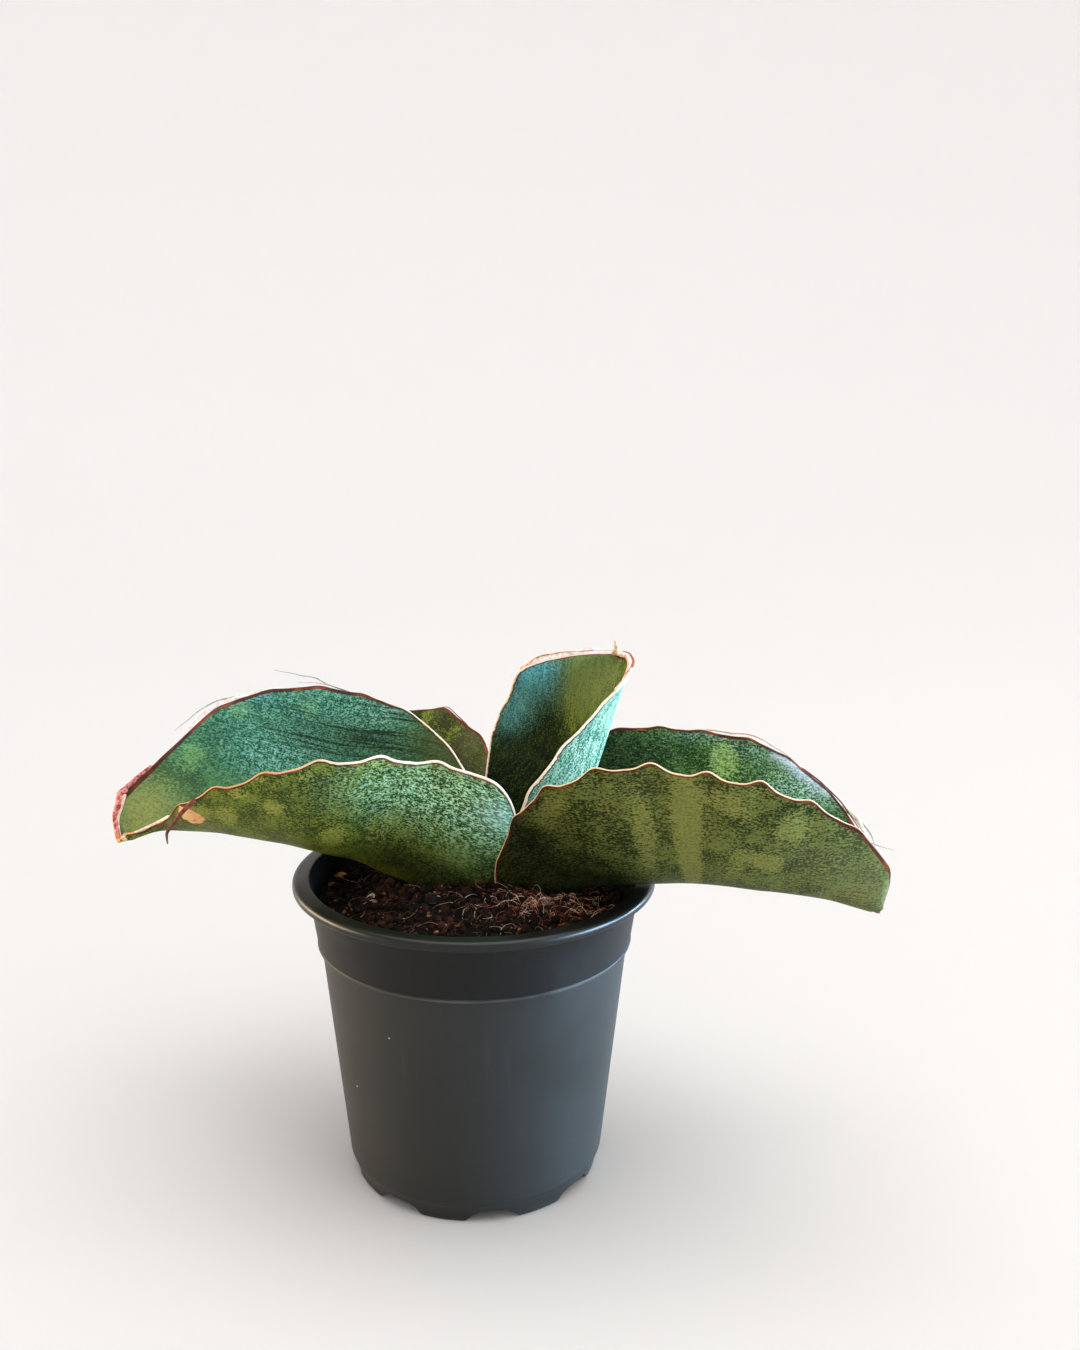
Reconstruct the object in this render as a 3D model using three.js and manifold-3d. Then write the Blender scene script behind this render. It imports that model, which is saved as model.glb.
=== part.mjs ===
// A potted snake plant: a young, wide-leaved Sansevieria in a 13 cm plastic nursery pot.
// Millimetres, +Z up, origin at the middle of the pot's underside.
// -Y is the front, and +X is to the right of the front view.
import * as THREE from "three";
import { ConvexGeometry } from "three/addons/geometries/ConvexGeometry.js";
import { mergeVertices } from "three/addons/utils/BufferGeometryUtils.js";
import Module from "manifold-3d";

const wasm = await Module();
wasm.setup();

// ---------------------------------------------------------------- driving dimensions
const GAP = 0.3; // clearance kept between two touching pieces
const REACH = 1; // how far a cutter goes past the face it cuts
const WELD = 1e-4; // points closer than this are one point
const COLOR = { pot: 0x35383b, soil: 0x2c1d15 };
const ROUGHNESS = { pot: 0.45, soil: 1, leaf: 0.5 };

const POT = {
  height: 113.2,
  rimRadius: 65,
  rimInnerRadius: 59, // inner edge of the flat rim
  rimRound: 1.8, // rounding of the rim's outer edge
  lipDrop: 3.2, // how far the rolled lip hangs down
  lipRound: 0.6,
  collarTopRadius: 59.6, // outside of the collar, under the rim
  collarFootRadius: 56.4, // outside of the collar, at the step
  stepZ: 88.7, // height of the step below the collar
  stepHeight: 0.6,
  bodyTopRadius: 55.3,
  bodyFootRadius: 47,
  bodyFootZ: 9,
  heelRound: 5, // rounding from the body in to the foot
  heelTurn: 34, // degrees of it
  footRadius: 44.8,
  footHeight: 2.4,
  footRound: 1.2,
  cornerRound: 1.6, // inside, between the wall and the floor
  wall: 1.5,
  floor: 2.2,
  segments: 48,
};

const DRAIN = {
  count: 8, // scalloped pockets round the foot, each with a drain hole
  firstAngle: -80, // degrees from +X; the front pocket lies just right of the middle
  width: 24,
  height: 4.2,
  innerRadius: 34,
  flare: 8, // width of the soft S-shaped side, which starts below the floor
  flareStart: -0.5,
  flareSteps: 6,
  shell: 1.5, // thickness of the pocket's roof and walls inside the pot
  holeRadius: 3.4,
  holeSides: 12,
  holeAt: 38.5,
};

const SOIL = {
  edgeZ: 104, // surface at the wall
  crownZ: 109.5, // surface round the plant
  crownShare: 0.35, // flat middle of the mound, share of the surface's radius
  lump: 0.9, // height of the crumbs
  calm: 6, // how late they die out towards the wall, an exponent
  crumb: { x: 0.43, y: 0.47, bend: 1.2, bendPitch: 0.34 }, // their pattern, radians per mm
  holeMargin: 9, // how far above the mound a leaf's hole is cut
  holeReach: 50, // and how far out from the pot's axis
  rings: 8,
};

// A leaf is a boat: a keel line, two halves that rise from it, and a waved margin.
// Each list runs evenly from the buried base to the tip. left and right are the half-widths
// on the two sides of the keel, looking from base to tip with the inner face up, right first.
const LEAVES = [
  {
    name: "leaf_left",
    color: 0x4f7a55,
    keel: [
      [-10, 4.5, 96],
      [-20, 3.5, 106],
      [-37, 3, 115],
      [-56, 2, 121.5],
      [-76, 2, 126],
      [-96, 2, 128.5],
      [-113, 1, 128],
      [-127, 0, 123],
    ],
    inward: [0.6, 0, 1], // direction that the inner face looks to
    fold: [74, 68, 60, 50, 46, 44, 46, 60], // rise of each half, degrees
    roll: [0, -1, -5, -4, 0, 4, 6, 10], // lift of the right half over the left, degrees
    right: [18, 39, 56.5, 64, 62, 49.5, 24.5, 12.5],
    left: [26, 56, 54, 53.5, 42.5, 29, 4.5, 5],
    tipRound: 0.06, // stretch of the leaf over which its end is rounded
    rib: 4.2, // thickness at the keel
    waves: 9.75,
    waviness: { left: 0.75, right: 0.25 },
    phase: { left: -1.63, right: 0.4 },
    steps: 54,
    across: 5,
  },
  {
    name: "leaf_right",
    color: 0x47663a,
    keel: [
      [23, 1.5, 95],
      [28, -1.5, 104],
      [42, -8, 111.5],
      [60, -15, 116],
      [80, -20, 118],
      [101, -25, 117.5],
      [121, -29, 115.5],
      [138.5, -32, 111],
    ],
    inward: [-0.6, 0.1, 1],
    fold: [60, 60, 59, 55, 53, 52, 52, 50],
    roll: [0, 3, 6, 8, 8, 8, 10, 14],
    right: [13, 27, 46, 56, 54.5, 50.5, 37, 18],
    left: [16, 36, 53, 58, 57, 51.5, 36, 12],
    tipRound: 0.03,
    rib: 4.2,
    waves: 10.7,
    waviness: { left: 0.3, right: 0.9 },
    phase: { left: 2.6, right: -0.97 },
    steps: 56,
    across: 5,
  },
  {
    name: "leaf_centre",
    color: 0x3f6b52,
    keel: [
      [15.2, 6.2, 100],
      [20.6, 5.2, 113],
      [31, 4, 130],
      [41, 4.5, 146],
      [47, 7, 164],
      [50.5, 10, 178],
      [53, 13, 189.5],
    ],
    inward: [-1, -0.1, 0.45],
    fold: [70, 66, 62, 60, 56, 48, 40],
    roll: [0, 0, 0, 0, -10, -36, -52],
    right: [8, 15, 20, 21, 15.5, 12, 12],
    left: [8, 21, 35.5, 41.5, 38.5, 34.5, 24],
    tipRound: 0.2,
    rib: 3.4,
    waves: 5.2,
    waviness: { left: 0.3, right: 0.4 },
    phase: { left: 0.2, right: 1.4 },
    steps: 30,
    across: 4,
  },
  {
    name: "leaf_back",
    color: 0x55662c,
    keel: [
      [-2, 25, 98],
      [-8, 31, 106],
      [-18, 40, 112],
      [-30, 50, 117],
      [-42, 60, 121],
      [-53, 69, 124],
      [-62, 76, 125],
    ],
    inward: [0.5, -0.4, 1],
    fold: [78, 66, 56, 52, 50, 46, 40],
    roll: [0, 0, 0, 0, 0, 0, 0],
    right: [10, 26, 38, 43.5, 43.5, 35, 18],
    left: [10, 16, 20, 22, 20, 14, 8],
    tipRound: 0.12,
    rib: 3.2,
    waves: 4.6,
    waviness: { left: 0.6, right: 0.6 },
    phase: { left: 1.1, right: 2.2 },
    steps: 30,
    across: 4,
  },
];
const KEEL_ROUNDING = 0.22; // share of the half-width over which the keel is rounded
const KEEL_SPAN = 0.08; // stretch of the keel, either way, that sets a section's direction
const BELLY = 0.07; // outward bow of each half, share of its half-width
const MARGIN_THICKNESS = 1.4;
const TIP_RIB = 1.8; // thickness at the keel's tip
const TIP_TURN = 0.985; // how far round its arc a leaf's end goes; at 1 it would be a point
const RIB_FALL = 0.8; // how the thickness falls from the keel to the margin, an exponent
const CURVE_END = 0.01; // stretch of the keel that gives the direction of its buried end
const WAVE = {
  inward: 1, // movement towards the inner face at the margin, mm
  along: 1.2, // movement in the blade's plane, mm
  power: 4, // how fast it dies out from the margin towards the keel
  trough: -0.6,
  crest: 1.1,
  drift: 0.2, // slow change of the level
  driftPitch: 0.43,
  fadeIn: [0.08, 0.3], // stretch of the leaf where it grows from nothing, and where it dies out
  fadeOut: [0.7, 1],
};

// ---------------------------------------------------------------- solids
/** A closed geometry as a manifold solid. */
function solid(geometry) {
  const bare = geometry.clone();
  bare.deleteAttribute("normal");
  bare.deleteAttribute("uv");
  const merged = mergeVertices(bare, WELD);
  return new wasm.Manifold(
    new wasm.Mesh({
      numProp: 3,
      vertProperties: new Float32Array(merged.attributes.position.array),
      triVerts: new Uint32Array(merged.index.array),
    }),
  );
}

/** A manifold solid as a geometry. */
function geometryOf(body) {
  const { vertProperties, triVerts } = body.getMesh();
  const geometry = new THREE.BufferGeometry();
  geometry.setAttribute("position", new THREE.BufferAttribute(vertProperties, 3));
  geometry.setIndex(new THREE.BufferAttribute(triVerts, 1));
  geometry.computeVertexNormals();
  return geometry;
}

function piece(name, geometry, color, roughness) {
  const material = new THREE.MeshStandardMaterial({ color, roughness, metalness: 0 });
  const mesh = new THREE.Mesh(geometry, material);
  mesh.name = name;
  return mesh;
}

/** Points of an arc in a profile, from and to in degrees. */
function arc(radius, z, size, from, to, steps) {
  return Array.from({ length: steps + 1 }, (_, i) => {
    const turn = THREE.MathUtils.degToRad(THREE.MathUtils.lerp(from, to, i / steps));
    return [radius + size * Math.cos(turn), z + size * Math.sin(turn)];
  });
}

/** A profile of [radius, z] points turned about the Z axis. */
function turned(profile) {
  const points = profile.map(([r, z]) => new THREE.Vector2(r, z));
  return new THREE.LatheGeometry(points, POT.segments).rotateX(Math.PI / 2);
}

// ---------------------------------------------------------------- pot
const innerRadiusAt = (z) => {
  const share = (z - POT.bodyFootZ) / (POT.stepZ - POT.bodyFootZ);
  const body = THREE.MathUtils.lerp(POT.bodyFootRadius, POT.bodyTopRadius, share);
  const rise = (z - POT.stepZ) / (POT.height - POT.lipDrop - POT.stepZ);
  const collar = THREE.MathUtils.lerp(POT.collarFootRadius, POT.collarTopRadius, rise);
  return (z < POT.stepZ ? body : Math.min(collar, POT.rimInnerRadius + POT.wall)) - POT.wall;
};

/** The pocket's section, seen along the radius: a flat arch on the floor, grown by `extra` all round. */
function pocketGeometry(extra, from, to) {
  const half = DRAIN.width / 2 + extra;
  const top = DRAIN.height + extra;
  const side = Array.from({ length: DRAIN.flareSteps + 1 }, (_, i) => {
    const share = i / DRAIN.flareSteps;
    const rise = THREE.MathUtils.smoothstep(share, 0, 1);
    return [half - DRAIN.flare * share, THREE.MathUtils.lerp(DRAIN.flareStart, top, rise)];
  });
  const mirrored = side.map(([x, z]) => [-x, z]).reverse();
  const outline = [[-half, -REACH], [half, -REACH], ...side, ...mirrored];
  const arch = new THREE.Shape(outline.map(([x, z]) => new THREE.Vector2(x, z)));
  return new THREE.ExtrudeGeometry(arch, { depth: to - from, bevelEnabled: false })
    .rotateX(Math.PI / 2)
    .rotateZ(Math.PI / 2)
    .translate(from, 0, 0);
}

function makePot() {
  const { height, floor, wall, stepZ, footRadius, heelRound, heelTurn, lipRound, rimRound } = POT;
  const lipZ = height - POT.lipDrop;
  const outside = [
    [0, 0],
    [footRadius - POT.footRound, 0],
    [footRadius, POT.footRound],
    [footRadius, POT.footHeight],
    ...arc(POT.bodyFootRadius - heelRound, POT.bodyFootZ, heelRound, -heelTurn, 0, 3),
    [POT.bodyTopRadius, stepZ - POT.stepHeight],
    [POT.collarFootRadius, stepZ],
    [POT.collarTopRadius, lipZ],
    ...arc(POT.rimRadius - lipRound, lipZ + lipRound, lipRound, -90, 0, 2),
    ...arc(POT.rimRadius - rimRound, height - rimRound, rimRound, 0, 90, 4),
  ];
  const floorEdge = footRadius - wall;
  const inside = [
    ...arc(POT.rimInnerRadius + lipRound, height - lipRound, lipRound, 90, 180, 2),
    [innerRadiusAt(lipZ), lipZ],
    [innerRadiusAt(stepZ), stepZ],
    [innerRadiusAt(stepZ - REACH), stepZ - REACH],
    [innerRadiusAt(POT.bodyFootZ), POT.bodyFootZ],
    [floorEdge, floor + POT.cornerRound],
    [floorEdge - POT.cornerRound, floor],
    [0, floor],
  ];
  let body = solid(turned([...outside, ...inside]));
  const roof = [];
  const cuts = [];
  const holeLength = DRAIN.height + DRAIN.shell + REACH;
  for (let i = 0; i < DRAIN.count; i++) {
    const turn = THREE.MathUtils.degToRad(DRAIN.firstAngle + (i * 360) / DRAIN.count);
    const inner = DRAIN.innerRadius;
    roof.push(solid(pocketGeometry(DRAIN.shell, inner - DRAIN.shell, footRadius).rotateZ(turn)));
    cuts.push(solid(pocketGeometry(0, inner, POT.bodyFootRadius + REACH).rotateZ(turn)));
    const hole = new THREE.CylinderGeometry(DRAIN.holeRadius, DRAIN.holeRadius, holeLength, DRAIN.holeSides);
    cuts.push(solid(hole.rotateX(Math.PI / 2).translate(DRAIN.holeAt, 0, holeLength / 2).rotateZ(turn)));
  }
  const within = footRadius - wall / 3;
  const keep = solid(turned([[0, 0], [within, 0], [within, stepZ], [0, stepZ]]));
  body = body.add(wasm.Manifold.union(roof).intersect(keep));
  body = body.subtract(wasm.Manifold.union(cuts));
  return piece("pot", geometryOf(body), COLOR.pot, ROUGHNESS.pot);
}

// ---------------------------------------------------------------- leaves
/** Smooth value at t (0..1) through evenly spaced values. */
function along(values, t) {
  const last = values.length - 1;
  const s = Math.min(Math.max(t, 0), 1) * last;
  const i = Math.min(Math.floor(s), last - 1);
  const f = s - i;
  const b = values[i];
  const c = values[i + 1];
  const a = i > 0 ? values[i - 1] : 2 * b - c;
  const d = i + 2 <= last ? values[i + 2] : 2 * c - b;
  const linear = (c - a) * f;
  const square = (2 * a - 5 * b + 4 * c - d) * f * f;
  const cube = (3 * b - a - 3 * c + d) * f * f * f;
  return (2 * b + linear + square + cube) / 2;
}

/**
 * The point of a leaf's middle surface at t (base 0, tip 1) and v (-1 left margin, 1 right margin),
 * with the margins moved out by `extra`.
 */
function leafPoint(leaf, curve, t, v, extra = 0) {
  const keel = curve.getPoint(t);
  const ahead = curve.getPoint(Math.min(t + KEEL_SPAN, 1));
  const forward = ahead.sub(curve.getPoint(Math.max(t - KEEL_SPAN, 0))).normalize();
  const across = new THREE.Vector3().crossVectors(forward, new THREE.Vector3(...leaf.inward)).normalize();
  const up = new THREE.Vector3().crossVectors(across, forward);
  const roll = THREE.MathUtils.degToRad(along(leaf.roll, t));
  across.applyAxisAngle(forward, -roll);
  up.applyAxisAngle(forward, -roll);

  const side = v < 0 ? -1 : 1;
  const sideName = v < 0 ? "left" : "right";
  const a = Math.abs(v);
  const fold = THREE.MathUtils.degToRad(along(leaf.fold, t));
  const wave = waveAt(leaf, sideName, t);
  const ripple = wave * a ** WAVE.power;
  const tipShare = TIP_TURN * Math.max(0, (t - 1 + leaf.tipRound) / leaf.tipRound);
  const taper = Math.sqrt(1 - tipShare * tipShare);
  const width = along(leaf[sideName], t) * taper + WAVE.along * ripple + extra;
  const rounded = (x) => Math.hypot(x, KEEL_ROUNDING) - KEEL_ROUNDING;
  const rise = rounded(a) / rounded(1);
  const bow = BELLY * width * 4 * a * (1 - a) - WAVE.inward * ripple;
  const outward = width * Math.cos(fold) * a + bow * Math.sin(fold);
  const upward = width * Math.sin(fold) * rise - bow * Math.cos(fold);
  return keel.addScaledVector(across, side * outward).addScaledVector(up, upward);
}

/** The margin's wave, narrow crests between wide troughs, dying out at the base and the tip. */
function waveAt(leaf, sideName, t) {
  const turn = 2 * Math.PI * leaf.waves * t + leaf.phase[sideName];
  const grown = THREE.MathUtils.smoothstep(t, ...WAVE.fadeIn);
  const fade = grown * (1 - THREE.MathUtils.smoothstep(t, ...WAVE.fadeOut));
  const crest = ((1 + Math.sin(turn)) / 2) ** 2;
  const level = THREE.MathUtils.lerp(WAVE.trough, WAVE.crest, crest);
  const drift = WAVE.drift * Math.sin(WAVE.driftPitch * turn + 1);
  return leaf.waviness[sideName] * fade * (level + drift);
}

/**
 * A leaf as one closed solid, its inner and outer faces split into triangles alike.
 * With `grow` it is that much larger on all sides.
 */
function leafGeometry(leaf, grow = 0) {
  const curve = new THREE.CatmullRomCurve3(
    leaf.keel.map((p) => new THREE.Vector3(...p)),
    false,
    "catmullrom",
  );
  const { steps } = leaf;
  const columns = 2 * leaf.across;
  const middle = (i, j) => leafPoint(leaf, curve, i / steps, (2 * j) / columns - 1, grow);
  const down = curve.getPoint(0).sub(curve.getPoint(CURVE_END)).setLength(grow);
  const inner = [];
  const outer = [];
  for (let i = 0; i <= steps; i++) {
    for (let j = 0; j <= columns; j++) {
      const point = i > 0 ? middle(i, j) : middle(i, j).add(down);
      const lengthwise = middle(Math.min(i + 1, steps), j).sub(middle(Math.max(i - 1, 0), j));
      const crosswise = middle(i, Math.min(j + 1, columns)).sub(middle(i, Math.max(j - 1, 0)));
      const normal = crosswise.cross(lengthwise).normalize();
      const t = i / steps;
      const a = Math.abs((2 * j) / columns - 1);
      const rib = THREE.MathUtils.lerp(leaf.rib, TIP_RIB, t);
      const thick = THREE.MathUtils.lerp(rib, MARGIN_THICKNESS, a ** RIB_FALL) + 2 * grow;
      inner.push(point.clone().addScaledVector(normal, thick / 2));
      outer.push(point.clone().addScaledVector(normal, -thick / 2));
    }
  }
  const at = (i, j, face) => (face * (steps + 1) + i) * (columns + 1) + j;
  const index = [];
  const quad = (a, b, c, d) => index.push(a, b, c, a, c, d);
  for (let i = 0; i < steps; i++) {
    for (let j = 0; j < columns; j++) {
      quad(at(i, j, 0), at(i, j + 1, 0), at(i + 1, j + 1, 0), at(i + 1, j, 0));
      index.push(at(i, j, 1), at(i + 1, j + 1, 1), at(i, j + 1, 1));
      index.push(at(i, j, 1), at(i + 1, j, 1), at(i + 1, j + 1, 1));
    }
    quad(at(i, 0, 0), at(i + 1, 0, 0), at(i + 1, 0, 1), at(i, 0, 1));
    quad(at(i, columns, 1), at(i + 1, columns, 1), at(i + 1, columns, 0), at(i, columns, 0));
  }
  for (let j = 0; j < columns; j++) {
    quad(at(0, j, 1), at(0, j + 1, 1), at(0, j + 1, 0), at(0, j, 0));
    quad(at(steps, j, 0), at(steps, j + 1, 0), at(steps, j + 1, 1), at(steps, j, 1));
  }
  const geometry = new THREE.BufferGeometry().setFromPoints([...inner, ...outer]);
  geometry.setIndex(index);
  geometry.computeVertexNormals();
  return geometry;
}

/** The plain hole in the soil for a leaf's buried base, `clear` wider on all sides. */
function leafHole(leaf, clear) {
  const positions = leafGeometry(leaf, clear).attributes.position;
  const buried = [];
  for (let i = 0; i < positions.count; i++) {
    const point = new THREE.Vector3().fromBufferAttribute(positions, i);
    const low = point.z < SOIL.crownZ + SOIL.holeMargin;
    if (low && Math.hypot(point.x, point.y) < SOIL.holeReach) buried.push(point);
  }
  return new ConvexGeometry(buried);
}

// ---------------------------------------------------------------- soil
/** Height of the soil's surface: a low mound with crumbs. */
function soilHeight(x, y) {
  const r = Math.hypot(x, y) / innerRadiusAt(SOIL.edgeZ);
  const fall = THREE.MathUtils.smoothstep(r, SOIL.crownShare, 1);
  const mound = THREE.MathUtils.lerp(SOIL.crownZ, SOIL.edgeZ, fall);
  const { bend, bendPitch } = SOIL.crumb;
  const rows = Math.sin(SOIL.crumb.x * x + bend * Math.sin(bendPitch * y));
  const crumbs = rows * Math.sin(SOIL.crumb.y * y + bend * Math.sin(bendPitch * x));
  return mound + SOIL.lump * crumbs * (1 - r ** SOIL.calm);
}

function makeSoil(leafHoles) {
  const { rings } = SOIL;
  const { segments } = POT;
  const pocketTop = DRAIN.height + DRAIN.shell + GAP;
  const plug = DRAIN.innerRadius - DRAIN.shell - REACH;
  const wallRadius = (z) => innerRadiusAt(z) - GAP;
  const rim = wallRadius(SOIL.edgeZ);
  const side = [
    [plug, POT.floor + GAP],
    [plug, pocketTop],
    [POT.footRadius - POT.wall - REACH, pocketTop],
    [wallRadius(POT.bodyFootZ), POT.bodyFootZ],
    [wallRadius(POT.stepZ - REACH), POT.stepZ - REACH],
  ];
  const points = [new THREE.Vector3(0, 0, POT.floor + GAP)];
  const ring = (radius, z) => {
    for (let k = 0; k < segments; k++) {
      const turn = (2 * Math.PI * k) / segments;
      const x = radius * Math.cos(turn);
      const y = radius * Math.sin(turn);
      points.push(new THREE.Vector3(x, y, z ?? soilHeight(x, y)));
    }
  };
  side.forEach(([radius, z]) => ring(radius, z));
  for (let i = rings; i > 0; i--) ring((rim * i) / rings);
  points.push(new THREE.Vector3(0, 0, soilHeight(0, 0)));
  const count = side.length + rings;
  const at = (i, k) => 1 + i * segments + (k % segments);
  const index = [];
  for (let k = 0; k < segments; k++) {
    index.push(0, at(0, k + 1), at(0, k));
    for (let i = 0; i < count - 1; i++) {
      index.push(at(i, k), at(i, k + 1), at(i + 1, k + 1));
      index.push(at(i, k), at(i + 1, k + 1), at(i + 1, k));
    }
    index.push(at(count - 1, k), at(count - 1, k + 1), points.length - 1);
  }
  const geometry = new THREE.BufferGeometry().setFromPoints(points);
  geometry.setIndex(index);
  const body = solid(geometry).subtract(wasm.Manifold.union(leafHoles));
  return piece("soil", geometryOf(body), COLOR.soil, ROUGHNESS.soil);
}

// ---------------------------------------------------------------- assembly
const plant = new THREE.Group();
plant.name = "potted_snake_plant";
plant.add(makePot());
plant.add(makeSoil(LEAVES.map((leaf) => solid(leafHole(leaf, GAP)))));
for (const leaf of LEAVES) plant.add(piece(leaf.name, leafGeometry(leaf), leaf.color, ROUGHNESS.leaf));

export default plant;
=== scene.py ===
# A potted snake plant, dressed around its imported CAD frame. Metres, +Z up, the front is -Y.
import random
from math import asin, cos, hypot, pi, radians, sin, sqrt
from types import SimpleNamespace as Named

import bmesh
import bpy
import numpy as np
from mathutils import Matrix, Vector, kdtree, noise


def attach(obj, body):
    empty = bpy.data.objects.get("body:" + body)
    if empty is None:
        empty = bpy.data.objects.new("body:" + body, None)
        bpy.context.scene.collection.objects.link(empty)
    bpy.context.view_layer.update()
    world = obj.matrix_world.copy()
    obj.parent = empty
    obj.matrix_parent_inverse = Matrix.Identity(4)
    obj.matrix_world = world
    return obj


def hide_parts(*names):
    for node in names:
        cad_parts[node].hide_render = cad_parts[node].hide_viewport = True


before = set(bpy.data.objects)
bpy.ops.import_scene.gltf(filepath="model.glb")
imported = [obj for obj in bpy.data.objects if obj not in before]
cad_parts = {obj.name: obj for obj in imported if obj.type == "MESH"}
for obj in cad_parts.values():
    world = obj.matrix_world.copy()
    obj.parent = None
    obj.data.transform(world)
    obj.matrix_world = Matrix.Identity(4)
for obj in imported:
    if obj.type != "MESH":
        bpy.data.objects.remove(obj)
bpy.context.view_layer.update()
MM = 0.001

# ---------------------------------------------------------------- dimensions, mm
POT = Named(
    height=113.2, rim=65.0, rim_inner=59.0, rim_round=1.8, lip_drop=3.2, lip_round=0.6,
    collar_top=59.6, collar_foot=56.4, step=88.7, step_height=0.6, body_top=55.3,
    body_foot=47.0, body_foot_z=9.0, heel_round=5.0, heel_turn=34.0,
    foot=44.8, foot_height=2.4, foot_round=1.2, wall=1.5, inside_z=8.0, bead=0.35,
)
DRAIN = Named(count=8, first=-80.0, width=24.0, height=4.2, inner=34.0, flare=8.0,
              flare_start=-0.5, hole=3.4, hole_at=38.5)
SOIL = Named(edge_z=104.0, crown_z=109.5, crown_share=0.35, gap=0.3, foot_z=11.0)
LEAVES = {
    "leaf_left": Named(
        keel=[(-10, 4.5, 96), (-20, 3.5, 106), (-37, 3, 115), (-56, 2, 121.5),
              (-76, 2, 126), (-96, 2, 128.5), (-113, 1, 128), (-127, 0, 123)],
        inward=(0.6, 0, 1),
        fold=[74, 68, 60, 50, 46, 44, 46, 60],
        roll=[0, -1, -5, -4, 0, 4, 6, 10],
        right=[18, 39, 56.5, 64, 62, 49.5, 24.5, 12.5],
        left=[26, 56, 54, 53.5, 42.5, 29, 4.5, 5],
        tip_round=0.06, rib=4.2, waves=9.75, waviness=dict(left=0.75, right=0.25),
        phase=dict(left=-1.63, right=0.4),
    ),
    "leaf_right": Named(
        keel=[(23, 1.5, 95), (28, -1.5, 104), (42, -8, 111.5), (60, -15, 116),
              (80, -20, 118), (101, -25, 117.5), (121, -29, 115.5), (138.5, -32, 111)],
        inward=(-0.6, 0.1, 1),
        fold=[60, 60, 59, 55, 53, 52, 52, 50],
        roll=[0, 3, 6, 8, 8, 8, 10, 14],
        right=[13, 27, 46, 56, 54.5, 50.5, 37, 18],
        left=[16, 36, 53, 58, 57, 51.5, 36, 12],
        tip_round=0.03, rib=4.2, waves=10.7, waviness=dict(left=0.3, right=0.9),
        phase=dict(left=2.6, right=-0.97),
    ),
    "leaf_centre": Named(
        keel=[(15.2, 6.2, 100), (20.6, 5.2, 113), (31, 4, 130), (41, 4.5, 146),
              (47, 7, 164), (50.5, 10, 178), (53, 13, 189.5)],
        inward=(-1, -0.1, 0.45),
        fold=[70, 66, 62, 60, 56, 48, 40],
        roll=[0, 0, 0, 0, -10, -36, -52],
        right=[8, 15, 20, 21, 15.5, 12, 12],
        left=[8, 21, 35.5, 41.5, 38.5, 34.5, 24],
        tip_round=0.2, rib=3.4, waves=5.2, waviness=dict(left=0.3, right=0.4),
        phase=dict(left=0.2, right=1.4),
    ),
    "leaf_back": Named(
        keel=[(-2, 25, 98), (-8, 31, 106), (-18, 40, 112), (-30, 50, 117),
              (-42, 60, 121), (-53, 69, 124), (-62, 76, 125)],
        inward=(0.5, -0.4, 1),
        fold=[78, 66, 56, 52, 50, 46, 40],
        roll=[0, 0, 0, 0, 0, 0, 0],
        right=[10, 26, 38, 43.5, 43.5, 35, 18],
        left=[10, 16, 20, 22, 20, 14, 8],
        tip_round=0.12, rib=3.2, waves=4.6, waviness=dict(left=0.6, right=0.6),
        phase=dict(left=1.1, right=2.2),
    ),
}
KEEL_ROUNDING = 0.22  # of the fold at the keel, a share of the half-width
KEEL_SPAN = 0.08  # stretch of the keel that gives its direction
BELLY = 0.07  # how far each half bows out, a share of its width
MARGIN_THICKNESS = 0.8
TIP_RIB = 1.8  # thickness at the keel's tip
TIP_TURN = 0.985  # how far the rounding of the tip goes
TIP_ROWS = 18
RIB_FALL = 0.8  # how the thickness falls from the keel to the margin, an exponent
WAVE = Named(inward=1.0, along=1.2, power=4, trough=-0.6, crest=1.1, drift=0.2, pitch=0.43,
             fade_in=(0.08, 0.3), fade_out=(0.7, 1.0))


# ---------------------------------------------------------------- small helpers
def smooth(x, low, high):
    u = np.clip((np.asarray(x, float) - low) / (high - low), 0, 1)
    return u * u * (3 - 2 * u)


def linear(*screen):
    """A colour in 0-255 screen values, as the values that shaders take."""
    shares = [c / 255 for c in screen]
    return [c / 12.92 if c <= 0.04045 else ((c + 0.055) / 1.055) ** 2.4 for c in shares] + [1.0]


def around(count):
    """Angles spread evenly over a full turn."""
    return np.linspace(0, 2 * pi, count, endpoint=False)


def turned(profile, count):
    """The points of a profile of (radius, z), turned about Z."""
    return [(r * cos(x), r * sin(x), z) for r, z in profile for x in around(count)]


def bands(rows, count):
    """The faces between rows of points that each run once round."""
    return [(i * count + k, i * count + (k + 1) % count, (i + 1) * count + (k + 1) % count,
             (i + 1) * count + k) for i in range(rows - 1) for k in range(count)]


def tube(rows, count):
    """Those faces, and one across each end."""
    return bands(rows, count) + [tuple(range(count))[::-1],
                                 tuple(range((rows - 1) * count, rows * count))]


def closed(rows, count, low, high):
    """Those faces, with the first and the last row drawn in to a point each."""
    last = (rows - 1) * count
    return (bands(rows, count) + [(low, (k + 1) % count, k) for k in range(count)]
            + [(high, last + k, last + (k + 1) % count) for k in range(count)])


def mesh_object(name, points, faces, fields=None):
    """A mesh from points in mm. fields are per-vertex vectors, kept as attributes."""
    mesh = bpy.data.meshes.new(name)
    mesh.from_pydata((np.asarray(points) * MM).tolist(), [], [list(f) for f in faces])
    mesh.validate()
    for key, values in (fields or {}).items():
        made = mesh.attributes.new(key, "FLOAT_VECTOR", "POINT")
        made.data.foreach_set("vector", np.asarray(values, np.float32).ravel())
    mesh.polygons.foreach_set("use_smooth", [True] * len(mesh.polygons))
    made = bpy.data.objects.new(name, mesh)
    bpy.context.scene.collection.objects.link(made)
    return made


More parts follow.
